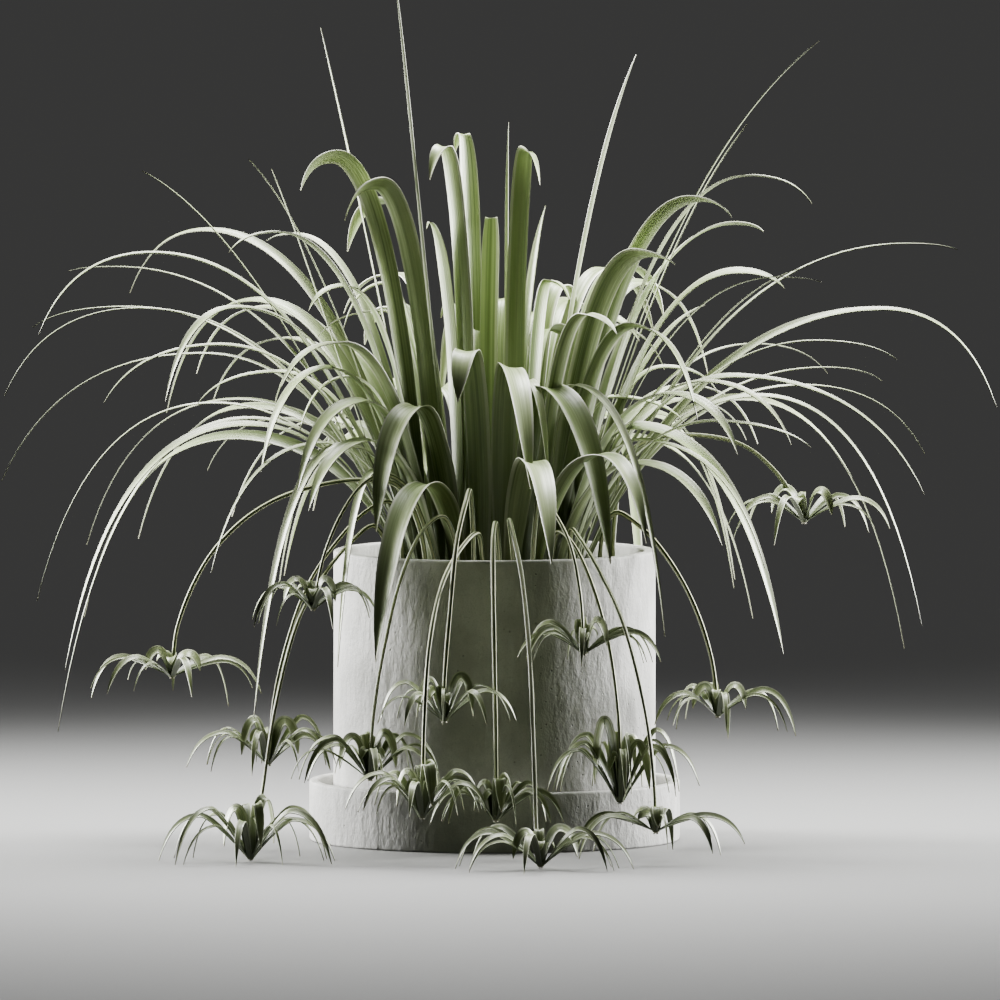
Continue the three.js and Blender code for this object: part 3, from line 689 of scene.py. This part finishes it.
def spun(name, points, closed):
    """A round body: a ring of points bent to the outline, then spun once round the Z axis."""
    obj = added(bpy.ops.mesh.primitive_circle_add, vertices=len(points), fill_type="NOTHING")
    obj.name = name
    set_coordinates(obj, [(x, 0.0, z) for x, z in points])
    if not closed:
        in_edit_mode(obj, SELECT_NONE)
        for edge in obj.data.edges:
            edge.select = set(edge.vertices) == {0, len(points) - 1}
        bpy.ops.object.mode_set(mode="EDIT")
        bpy.ops.mesh.select_mode(type="EDGE")
        bpy.ops.mesh.delete(type="EDGE")
        bpy.ops.mesh.select_mode(type="VERT")
        bpy.ops.object.mode_set(mode="OBJECT")
    in_edit_mode(
        obj,
        (bpy.ops.mesh.spin, {"steps": SPIN_STEPS, "angle": 2 * math.pi, "center": (0, 0, 0),
                             "axis": (0, 0, 1)}),
        SELECT_ALL,
        (bpy.ops.mesh.remove_doubles, {"threshold": WELD_DISTANCE}),
        FACE_OUTWARD,
    )
    return obj


def uneven(obj, strength, size, low):
    """Presses a soft unevenness into a surface above a height."""
    texture = bpy.data.textures.new(obj.name + "_unevenness", "CLOUDS")
    texture.noise_scale = size
    group = obj.vertex_groups.new(name="uneven")
    heights = coordinates(obj)[:, 2]
    group.add([int(i) for i in np.nonzero(heights > low)[0]], 1.0, "REPLACE")
    apply_modifier(obj, "DISPLACE", texture=texture, strength=strength, mid_level=0.5,
                   vertex_group="uneven")
    obj.vertex_groups.clear()


def round_body(name, corners, step, closed, unevenness, angle=40):
    """A spun body. Its unevenness is (strength, size, the height above which it starts)."""
    obj = spun(name, divided(rounded_outline(corners), step, closed), closed)
    uneven(obj, *unevenness)
    smooth(obj, angle)
    return obj


def make_saucer(concrete):
    inner = SAUCER_RADIUS - SAUCER_WALL
    corners = [
        (0.0, 0.0, 0), (SAUCER_RADIUS, 0.0, EDGE_ROUNDING),
        (SAUCER_RADIUS, SAUCER_HEIGHT, EDGE_ROUNDING), (inner, SAUCER_HEIGHT, EDGE_ROUNDING),
        (inner, POT_BOTTOM, SAUCER_FILLET), (0.0, POT_BOTTOM, 0),
    ]
    obj = round_body("saucer_cast", corners, WALL_STEP, closed=False,
                     unevenness=(UNEVENNESS, 0.05, POT_BOTTOM + SAUCER_FILLET))
    return finished(obj, concrete, "concrete", "saucer")


def make_pot(concrete):
    inner = POT_RADIUS - POT_WALL
    corners = [
        (DRAIN_RADIUS, POT_BOTTOM, DRAIN_ROUNDING), (POT_RADIUS, POT_BOTTOM, EDGE_ROUNDING),
        (POT_RADIUS, RIM_HEIGHT, EDGE_ROUNDING), (inner, RIM_HEIGHT, EDGE_ROUNDING),
        (inner, POT_FLOOR, POT_FILLET), (DRAIN_RADIUS, POT_FLOOR, DRAIN_ROUNDING),
    ]
    obj = round_body("pot_cast", corners, WALL_STEP, closed=True,
                     unevenness=(UNEVENNESS, 0.06, POT_FLOOR))
    return finished(obj, concrete, "concrete", "pot")


def make_soil(material, grit):
    """The soil with its crumbly top, and loose crumbs and pale grit lying on it."""
    draw = seeded_draw(SOIL_SEED)
    corners = [
        (0.0, POT_FLOOR, 0), (SOIL_RADIUS, POT_FLOOR, SOIL_ROUNDING),
        (SOIL_RADIUS, SOIL_TOP - SOIL_ROUNDING, SOIL_ROUNDING), (0.0, SOIL_TOP, 0),
    ]
    crumbs = [round_body("soil_crumbly", corners, SOIL_STEP, closed=False,
                         unevenness=(0.005, 0.012, SOIL_TOP - CRUMBLY_DEPTH),
                         angle=LOOSE_SMOOTHING)]
    for _ in range(CRUMBS):
        reach = SOIL_RADIUS * math.sqrt(draw(0.02, 0.9))
        turn = math.radians(draw(0, 360))
        size = draw(*CRUMB_SIZES)
        crumbs.append(added(
            bpy.ops.mesh.primitive_ico_sphere_add, subdivisions=1, radius=size,
            rotation=(draw(0, 3), draw(0, 3), 0), scale=(1.0, draw(0.6, 1.0), draw(0.5, 0.9)),
            location=(reach * math.cos(turn), reach * math.sin(turn), SOIL_TOP + size * 0.1)))
    deselect_all()
    for index, crumb in enumerate(crumbs):
        crumb.data.materials.append(material)
        crumb.data.materials.append(grit)
        if index % GRIT_EVERY == 1:
            for face in crumb.data.polygons:
                face.material_index = 1
        crumb.select_set(True)
    bpy.ops.object.transform_apply(location=True, rotation=True, scale=True)
    return finished(joined("soil_crumbly", crumbs), None, "soil", "soil")


# ---- Leaves: one flat blank, copied, narrowed and bent along each leaf's curve
def sheet_blank(name, along, across):
    """A flat strip, one unit long and one wide, whose UV map runs along and across it."""
    blank = added(bpy.ops.mesh.primitive_grid_add, x_subdivisions=along,
                  y_subdivisions=across, size=1, location=(0.5, 0, 0))
    blank.name = name
    use_only(blank)
    bpy.ops.object.transform_apply(location=True)
    blank.hide_render = True
    return blank


def shaped_copy(blank, points):
    """A copy of a blank that renders, with its vertices moved to the points, in mm."""
    obj = blank.copy()
    obj.data = blank.data.copy()
    obj.hide_render = False
    bpy.context.scene.collection.objects.link(obj)
    set_coordinates(obj, points * MM)
    return obj


def between(value, low, high):
    return min(max(value, low), high)


def unit_rows(rows):
    return rows / np.linalg.norm(rows, axis=1)[:, None]


def sampled(along, at, rows):
    """The rows of a curve at other places along it."""
    return np.stack([np.interp(along, at, column) for column in rows.T], axis=1)


def quadratic(a, b, c, steps):
    t = np.linspace(0, 1, steps + 1)[:, None]
    a, b, c = (np.asarray(p, float) for p in (a, b, c))
    return (1 - t) ** 2 * a + 2 * t * (1 - t) * b + t * t * c


def arch_points(root, apex, tip, lean, spread, steps=40):
    rise = quadratic(root, (root[0] + lean * (apex[0] - root[0]), apex[1]), apex, steps)
    fall = quadratic(apex, (apex[0] + spread * (tip[0] - apex[0]), apex[1]), tip, steps)
    return np.vstack([rise, fall[1:]])


def even_steps(points):
    """How far along its length each point of a curve lies, from 0 to 1, and the length."""
    lengths = np.linalg.norm(np.diff(points, axis=0), axis=1)
    total = np.concatenate([[0], np.cumsum(lengths)])
    return total / total[-1], total[-1]


def taper_start(points):
    """Where a blade starts to narrow to its tip: a little before the top of its arch."""
    at, _ = even_steps(points)
    return between(at[int(np.argmax(points[:, 1]))] - TAPER_AHEAD, *TAPER_LIMITS)


def breadth(width):
    """0 for a slender leaf, 1 for a broad one, which stays broad nearly to its tip."""
    return between((width - SLENDER_BLADE) / BROAD_OVER, 0, 1)


def width_share(along, taper, root_share, broad):
    """How wide a blade is along its length, as a share of its full width."""
    rising = root_share + (1 - root_share) * np.sin(
        np.minimum(along / WIDEST_AT, 1) * math.pi / 2)
    beyond = np.clip((along - taper) / (1 - taper), 0, 1)
    falling = np.cos(beyond ** (1 + TIP_FULLNESS * broad) * math.pi / 2).clip(0.0)
    return rising * np.maximum(falling, TIP_BREADTH)


def mark(obj, **values):
    for name, value in values.items():
        attribute = obj.data.attributes.new(name, "FLOAT", "POINT")
        attribute.data.foreach_set("value", np.full(len(obj.data.vertices), value, np.float32))


def laid_blade(blank, centre, azimuth, points, width, rolls, draw, broad=None, ripple=1.0,
               root_share=ROOT_SHARE):
    """A copy of the blank, laid along a curve in the upright plane at an azimuth. All in mm.

    Its cross rows lie closer together where the curve bends more. Of its two rolls the first is
    lost for the most part on the way to the tip.
    """
    flat = coordinates(blank)
    across = flat[:, 1] * 2
    at, length = even_steps(points)
    heading = np.unwrap(np.arctan2(*np.gradient(points, axis=0).T))
    bending = np.concatenate([[0], np.cumsum(np.abs(np.diff(heading)))])
    rows = (at + bending / max(bending[-1], BENT_OVER)) / 2
    along = np.interp(flat[:, 0].clip(0, 1), rows, at)
    reach, height = sampled(along, at, points).T
    ahead_out, ahead_up = sampled(along, at, unit_rows(np.gradient(points, axis=0))).T
    turn = math.radians(azimuth)
    outward = np.array([math.cos(turn), math.sin(turn), 0.0])
    sideways = np.array([-math.sin(turn), math.cos(turn), 0.0])
    up = np.array([0.0, 0.0, 1.0])
    above = np.outer(-ahead_up, outward) + np.outer(ahead_out, up)
    unrolled = UNROLL_SHARE * np.clip((along - UNROLL_FROM) / UNROLL_OVER, 0, 1)
    twist = (np.radians(rolls[0] * (1 - unrolled) + rolls[1]) * np.minimum(1, along * 3)
             + math.radians(draw(*BLADE_TWIST)) * along)
    across_way = np.cos(twist)[:, None] * sideways + np.sin(twist)[:, None] * above
    above = np.cos(twist)[:, None] * above - np.sin(twist)[:, None] * sideways
    broad = breadth(width) if broad is None else broad
    half = width * width_share(along, taper_start(points), root_share, broad) / 2
    phase = draw(*RIPPLE_WAVES) * 2 * math.pi * along + draw(0, 2 * math.pi)
    rippled = ripple * RIPPLE_DEPTH * np.sin(phase) * across * (1 - along)
    lift = 2 * half * (CHANNEL_DEPTH * np.abs(across) ** 1.5 + rippled)
    sway = draw(-1, 1) * SWAY * length * np.sin(math.pi * along) * ripple
    blade = shaped_copy(blank, (
        np.asarray(centre, float) + np.outer(reach, outward) + np.outer(height, up)
        + across_way * (across * half)[:, None] + above * lift[:, None]
        + np.outer(sway, sideways)))
    # The third value says how strongly a slender blade is tinted cream-white as painted sheen.
    mark(blade, tone=draw(0, 1), ribs=max(FEWEST_RIBS, width / RIBS_WIDTH),
         silver=between((PAINTED_SHEEN_BELOW - width) / PAINTED_SHEEN_OVER, 0, 1))
    return blade


def leaf_root(apex_reach):
    return (min(LEAF_ROOT_LIMIT, LEAF_ROOT_START + LEAF_ROOT_SHARE * apex_reach),
            LEAF_ROOT_HEIGHT)


def sector(azimuth, reach):
    """The piece that a leaf belongs to."""
    if reach < UPRIGHT_REACH:
        return "leaves_upright"
    names = ("leaves_right", "leaves_back", "leaves_left", "leaves_front")
    return names[int(((azimuth + 45) % 360) // 90)]


def side_roll(azimuth, reach):
    """Leaves that arch far to the left or the right turn their upper face to the front."""
    share = between((reach - SIDE_ROLL_FROM) / SIDE_ROLL_OVER, 0, 1)
    turn = math.radians(azimuth)
    return SIDE_ROLL * share * math.cos(turn) * (1 + math.sin(turn))


def leaf_arch(apex, tip):
    return arch_points(leaf_root(apex[0]), apex, tip, ARCH_LEAN, ARCH_SPREAD)


def all_leaf_shapes():
    """Every leaf of the clump: azimuth, points, width, roll, and the reach of its arch."""
    shapes = []
    for azimuth, reach, height, tip_reach, tip_height, width, *roll in ARCHING_LEAVES:
        points = leaf_arch((reach, height), (tip_reach, tip_height))
        rolls = (side_roll(azimuth, reach), roll[0] if roll else 0)
        shapes.append((azimuth, points, width, rolls, reach))
    for azimuth, reach, height, tip_reach, tip_height, width in UPRIGHT_LEAVES:
        points = quadratic(leaf_root(reach), (reach, height), (tip_reach, tip_height), steps=32)
        shapes.append((azimuth, points, width, (0, 0), tip_reach))
    for index, family in enumerate(LEAF_FAMILIES):
        count, first, last, reaches, heights, beyond, drops, widths, tilts, start = family
        draw = seeded_draw(FAMILY_SEED + index)
        for i in range(count):
            azimuth = first + (start + i * (GOLDEN_ANGLE / 360)) % 1 * (last - first)
            apex = (draw(*reaches), draw(*heights))
            tip = (apex[0] + draw(*beyond), apex[1] - draw(*drops))
            width, roll = draw(*widths), draw(*tilts)
            shapes.append((azimuth, leaf_arch(apex, tip), width,
                           (side_roll(azimuth, apex[0]), roll), apex[0]))
    return shapes


def thickened(obj, thickness):
    apply_modifier(obj, "SOLIDIFY", thickness=thickness * MM, offset=-1.0)
    smooth(obj, BLADE_SMOOTHING)


def make_leaves(material):
    draw = seeded_draw(LEAF_SEED)
    wide = sheet_blank("wide_blank", along=40, across=6)
    narrow = sheet_blank("narrow_blank", along=36, across=2)
    sectors = {}
    for azimuth, points, width, rolls, reach in all_leaf_shapes():
        blank = wide if width >= WIDE_BLADE else narrow
        blade = laid_blade(blank, (0, 0, 0), azimuth, points, width, rolls, draw)
        sectors.setdefault(sector(azimuth, reach), []).append(blade)
    for name, blades in sectors.items():
        piece = joined(name, blades)
        thickened(piece, BLADE_THICKNESS)
        finished(piece, material, "foliage", "leaf_clump")
    for blank in (wide, narrow):
        bpy.data.objects.remove(blank)


# ---- Runners: a stem and the young plant at its end
def stem_points(path, steps=10):
    """A centripetal Catmull-Rom curve through the path, which leaves the soil upright."""
    hole = path[0]
    points = np.array([hole, [hole[0], hole[1], STEM_UPRIGHT_TO], *path[1:]], float)
    first, last = 2 * points[0] - points[1], 2 * points[-1] - points[-2]
    points = np.vstack([first, points, last])
    out = []
    for i in range(1, len(points) - 2):
        p0, p1, p2, p3 = points[i - 1:i + 3]
        d1, d2, d3 = (np.linalg.norm(b - a) ** 0.5 for a, b in ((p0, p1), (p1, p2), (p2, p3)))
        m1 = ((p1 - p0) / d1 - (p2 - p0) / (d1 + d2) + (p2 - p1) / d2) * d2
        m2 = ((p2 - p1) / d2 - (p3 - p1) / (d2 + d3) + (p3 - p2) / d3) * d2
        for k in range(steps):
            t = k / steps
            out.append((2 * t ** 3 - 3 * t ** 2 + 1) * p1 + (t ** 3 - 2 * t ** 2 + t) * m1
                       + (-2 * t ** 3 + 3 * t ** 2) * p2 + (t ** 3 - t ** 2) * m2)
    out.append(points[-2])
    return np.array(out)


def laid_stem(blank, path, draw):
    """A copy of the blank wrapped into a tube along the path."""
    flat = coordinates(blank)
    along, around = flat[:, 0].clip(0, 1), (flat[:, 1] + 0.5) * 2 * math.pi
    points = stem_points(path)
    at, length = even_steps(points)
    tangents = unit_rows(np.gradient(points, axis=0))
    side = np.cross(tangents[0], [0.3, 1.0, 0.1])
    sides = []
    for tangent in tangents:
        side = side - tangent * side.dot(tangent)
        side /= np.linalg.norm(side)
        sides.append(side)
    sides = np.array(sides)
    fronts = np.cross(tangents, sides)
    knob_height, knob_length = STEM_KNOBS
    thick = STEM_RADIUS * (1.0 - STEM_TAPER * along
                           + knob_height * np.sin(along * length / knob_length))
    stem = shaped_copy(blank, (
        sampled(along, at, points) + sampled(along, at, sides) * (thick * np.cos(around))[:, None]
        + sampled(along, at, fronts) * (thick * STEM_FLATTENING * np.sin(around))[:, None]))
    in_edit_mode(
        stem,
        (bpy.ops.mesh.remove_doubles, {"threshold": WELD_DISTANCE / 2}),
        SELECT_NONE,
        (bpy.ops.mesh.select_non_manifold, {}),
        (bpy.ops.mesh.edge_face_add, {}),
        SELECT_ALL,
        FACE_OUTWARD,
    )
    mark(stem, tone=draw(0, 1), ribs=STEM_RIBS)
    return stem


def room_towards(centre, azimuth):
    """How far a young leaf may reach at an azimuth before it meets the saucer, in mm."""
    turn = math.radians(azimuth)
    inward = -(centre[0] * math.cos(turn) + centre[1] * math.sin(turn))
    beside = math.hypot(centre[0], centre[1]) ** 2 - inward ** 2
    wall = (SAUCER_RADIUS / MM + WALL_CLEARANCE) ** 2
    return inward - math.sqrt(wall - beside) if inward > 0 and beside < wall else math.inf


def young_arch(centre, apex, reach, hang, lean):
    """The arch of a young leaf, whose tip stays above the surface."""
    tip = (reach, max(-hang, SURFACE_CLEARANCE - centre[2]))
    return arch_points((YOUNG_ROOT_REACH, 0), apex, tip, lean, YOUNG_SPREAD, YOUNG_STEPS)


def pulled_sideways(azimuth):
    return azimuth - SIDEWAYS_PULL * math.sin(2 * math.radians(azimuth))


def young_leaf_shapes(runner, centre, seed):
    """The leaves that the part has too: outer ones that hang, and inner ones that stand."""
    draw = seeded_draw(seed)
    ranges = YOUNG_RANGES
    shapes = []
    for i in range(runner["leaves"]):
        azimuth = pulled_sideways(runner["turn"] + i * GOLDEN_ANGLE)
        inner = i >= OUTER_SHARE * runner["leaves"]
        full = runner["reach"] * draw(*ranges["reach"]) * (INNER_REACH if inner else 1)
        reach = min(full, room_towards(centre, azimuth))
        rise = runner["rise"] * draw(*ranges["rise"]) * (INNER_RISE if inner else 1)
        rise += BLOCKED_RISE * (full - reach) + (INNER_LIFT if inner else 0)
        if inner:
            hang = -rise * INNER_TIP
        else:
            hang = runner["hang"] * draw(*ranges["hang"]) * (reach / full)
        apex = (reach * draw(*ranges["apex"]), rise)
        points = young_arch(centre, apex, reach, hang, INNER_LEAN if inner else YOUNG_LEAN)
        width = runner["width"] * draw(*ranges["width"]) * (INNER_WIDTH if inner else 1)
        shapes.append((azimuth, points, width, 1 if inner else OUTER_BREADTH))
    return shapes


def thread_leaf_shapes(runner, centre, draw):
    """The thin outer leaves of a young plant, which reach as far as its widest ones."""
    ranges = THREAD_RANGES
    shapes = []
    for i in range(runner["leaves"] // 2):
        azimuth = pulled_sideways(runner["turn"] + THREAD_TURN + (i + 0.5) * GOLDEN_ANGLE)
        reach = min(runner["reach"] * draw(*ranges["reach"]), room_towards(centre, azimuth))
        if reach < runner["reach"] / 2:
            continue
        rise, hang = (runner[part] * draw(*ranges[part]) for part in ("rise", "hang"))
        apex = (reach * draw(*ranges["apex"]), rise)
        points = young_arch(centre, apex, reach, hang, YOUNG_LEAN)
        shapes.append((azimuth, points, draw(*ranges["width"]), 0))
    return shapes


def heart_leaf_shapes(runner, draw):
    """The short leaves that still stand in the middle of a young plant."""
    first, step = HEART_TURN
    shapes = []
    for i in range(HEART_COUNT):
        reach = draw(*HEART_RANGES["reach"])
        height = draw(*HEART_RANGES["height"]) * runner["rise"] + HEART_BASE
        points = arch_points((HEART_ROOT, 0), (reach * HEART_APEX, height),
                             (reach, height * HEART_TIP), HEART_LEAN, YOUNG_SPREAD, YOUNG_STEPS)
        azimuth = runner["turn"] + first + i * step
        shapes.append((azimuth, points, runner["width"] * HEART_WIDTH, 1))
    return shapes


def base_of_young_plant(centre, draw, skin, nub):
    """The short neck that the young leaves grow from, with the stubs of its first roots."""
    neck = added(
        bpy.ops.mesh.primitive_cone_add, vertices=14, radius1=NECK_BOTTOM * MM,
        radius2=NECK_TOP * MM, depth=NECK_HEIGHT * MM,
        location=(np.array(centre) + (0, 0, NECK_LIFT)) * MM)
    in_edit_mode(neck, (bpy.ops.mesh.bevel, {"offset": NECK_BEVEL * MM, "segments": 2}))
    parts = [neck]
    for i in range(NUB_COUNT):
        turn = math.radians(i * 360 / NUB_COUNT + draw(*NUB_RANGES["turn"]))
        length = draw(*NUB_RANGES["length"]) * MM
        tilt = draw(*NUB_RANGES["tilt"])
        place = (centre[0] + NUB_RING * math.cos(turn), centre[1] + NUB_RING * math.sin(turn),
                 max(centre[2] - NUB_DROP, NUB_LOWEST))
        parts.append(added(
            bpy.ops.mesh.primitive_cone_add, vertices=7, radius1=NUB_RADII[0] * MM,
            radius2=NUB_RADII[1] * MM, depth=length, rotation=(0, math.pi - tilt, turn),
            location=np.array(place) * MM))
    for part in parts:
        mark(part, tone=draw(0, 1), ribs=NECK_RIBS)
        part.data.materials.append(skin if part is neck else nub)
        use_only(part)
        bpy.ops.object.transform_apply(location=True, rotation=True, scale=True)
    return parts


def young_rosette(number, blank, runner, index, draw):
    """All leaves of one young plant, made one mesh."""
    centre = runner["path"][-1]
    shapes = young_leaf_shapes(runner, centre, YOUNG_SEED + index)
    shapes += heart_leaf_shapes(runner, draw) + thread_leaf_shapes(runner, centre, draw)
    leaves = []
    for azimuth, points, width, broad in shapes:
        roll = SIDE_ROLL * YOUNG_ROLL_SHARE * math.cos(math.radians(azimuth))
        rolls = (0, roll + draw(*YOUNG_TILT))
        leaves.append(laid_blade(blank, centre, azimuth, points, width, rolls, draw, broad,
                                 YOUNG_RIPPLE, YOUNG_ROOT_SHARE))
    rosette = joined("young_leaves_" + number, leaves)
    thickened(rosette, BLADE_THICKNESS)
    return rosette


def make_runners(stem_finish, leaf_finish, base_finish, nub_finish):
    stem_blank = sheet_blank("stem_blank", along=90, across=8)
    leaf_blank = sheet_blank("young_blank", along=16, across=2)
    for index, runner in enumerate(RUNNERS):
        draw = seeded_draw(RUNNER_SEED + index)
        number = f"{index + 1:02d}"
        stem = laid_stem(stem_blank, runner["path"], draw)
        smooth(stem, LOOSE_SMOOTHING)
        rosette = young_rosette(number, leaf_blank, runner, index, draw)
        for obj, finish in ((stem, stem_finish), (rosette, leaf_finish)):
            obj.data.materials.clear()
            obj.data.materials.append(finish)
        neck = joined("neck_" + number,
                      base_of_young_plant(runner["path"][-1], draw, base_finish, nub_finish))
        smooth(neck, LOOSE_SMOOTHING)
        piece = joined("runner_plant_" + number, [rosette, stem, neck])
        finished(piece, None, "runner", "runner_" + number)
    for blank in (stem_blank, leaf_blank):
        bpy.data.objects.remove(blank)


# ---- Stage: floor, lights and camera
def make_floor():
    """The floor throws no light back at the pot, so its front stays dark, as in the photo."""
    floor = added(bpy.ops.mesh.primitive_plane_add, size=FLOOR_SIZE, location=(0, 0, 0))
    floor.name = "studio_floor"
    floor.data.materials.append(floor_material())
    floor.visible_diffuse = False


def soft_light(name, azimuth, elevation, distance, aim, size, power, spread):
    """A rectangular softbox that looks at the plant's axis, at the height aim."""
    turn, tilt = math.radians(azimuth), math.radians(elevation)
    data = bpy.data.lights.new(name, "AREA")
    data.shape = "RECTANGLE"
    data.size, data.size_y = size
    data.energy = power
    data.spread = math.radians(spread)
    lamp = bpy.data.objects.new(name, data)
    bpy.context.scene.collection.objects.link(lamp)
    flat = distance * math.cos(tilt)
    lamp.location = (flat * math.cos(turn), flat * math.sin(turn),
                     aim + distance * math.sin(tilt))
    lamp.rotation_euler = (math.pi / 2 - tilt, 0, turn + math.pi / 2)
    lamp.visible_camera = False


def make_lights():
    """A tall softbox on either side, a weak one behind the top, and a faint sky."""
    for name, azimuth in (("left_softbox", 158), ("right_softbox", 22)):
        soft_light(name, azimuth, elevation=0, distance=1.6, aim=0.58, size=(0.6, 1.0),
                   power=37, spread=110)
    soft_light("top_softbox", 90, elevation=70, distance=1.4, aim=0.3, size=(1.3, 0.6),
               power=16, spread=80)
    world = bpy.data.worlds.new("studio")
    world.use_nodes = True
    sky = world.node_tree.nodes["Background"].inputs
    sky["Color"].default_value = (1, 1, 1, 1)
    sky["Strength"].default_value = SKY_LIGHT
    world.cycles.sampling_method = "NONE"
    bpy.context.scene.world = world
    bpy.context.scene.view_settings.look = "AgX - Medium High Contrast"


def make_camera():
    data = bpy.data.cameras.new("camera")
    data.lens = CAMERA_LENS
    data.sensor_width = CAMERA_SENSOR
    data.clip_start = CAMERA_NEAR
    data.clip_end = CAMERA_FAR
    camera = bpy.data.objects.new("camera", data)
    bpy.context.scene.collection.objects.link(camera)
    distance = CAMERA_LENS / CAMERA_SENSOR * FRAME_WIDTH
    camera.location = (CAMERA_AIM[0], CAMERA_AIM[1] - distance * math.cos(CAMERA_ELEVATION),
                       CAMERA_AIM[2] + distance * math.sin(CAMERA_ELEVATION))
    camera.rotation_euler = (math.pi / 2 - CAMERA_ELEVATION, 0, 0)
    bpy.context.scene.camera = camera


make_camera()
make_floor()
make_lights()

concrete = concrete_material()
# Each leaf finish carries painted shade at the root, painted light towards the end and painted
# sheen on slender blades.
grown_leaf = leaf_material(
    "grown_leaf", green=(0.245, 0.34, 0.115, 1), dark=(0.125, 0.185, 0.045, 1),
    pale=(0.44, 0.52, 0.27, 1), cream=(0.68, 0.70, 0.57, 1), margin=0.8,
    dull_tip=(0.50, 0.50, 0.36, 1), painted_root_shade=(0.045, 0.065, 0.012, 1), root_shade_span=(0.5, 0.93),
    silvery=0.4, painted_end_light=0.55)
young_leaf = leaf_material(
    "young_leaf", green=(0.16, 0.215, 0.06, 1), dark=(0.07, 0.105, 0.022, 1),
    pale=(0.36, 0.42, 0.21, 1), cream=(0.60, 0.64, 0.47, 1), margin=0.66,
    dull_tip=(0.45, 0.43, 0.28, 1), painted_root_shade=(0.035, 0.055, 0.01, 1), root_shade_span=(0.6, 0.96),
    silvery=0.1, painted_end_light=0.5)
young_base = leaf_material(
    "young_base", green=(0.10, 0.13, 0.045, 1), dark=(0.04, 0.06, 0.015, 1),
    pale=(0.2, 0.22, 0.1, 1), cream=(0.3, 0.3, 0.18, 1), margin=NO_MARGIN,
    dull_tip=(0.1, 0.12, 0.05, 1), painted_root_shade=(0.035, 0.05, 0.012, 1), root_shade_span=(0.6, 0.96),
    silvery=0.0, painted_end_light=0.0)

make_saucer(concrete)
make_pot(concrete)
grit = speckled_material("soil_grit", 200.0, (0.42, 0.40, 0.36, 1), (0.72, 0.70, 0.65, 1),
                         Roughness=0.9)
root_nub = speckled_material("root_nub", 500.0, (0.55, 0.52, 0.42, 1), (0.80, 0.78, 0.70, 1),
                             Roughness=0.6)
make_soil(soil_material(), grit)
make_leaves(grown_leaf)
make_runners(stem_material(), young_leaf, young_base, root_nub)
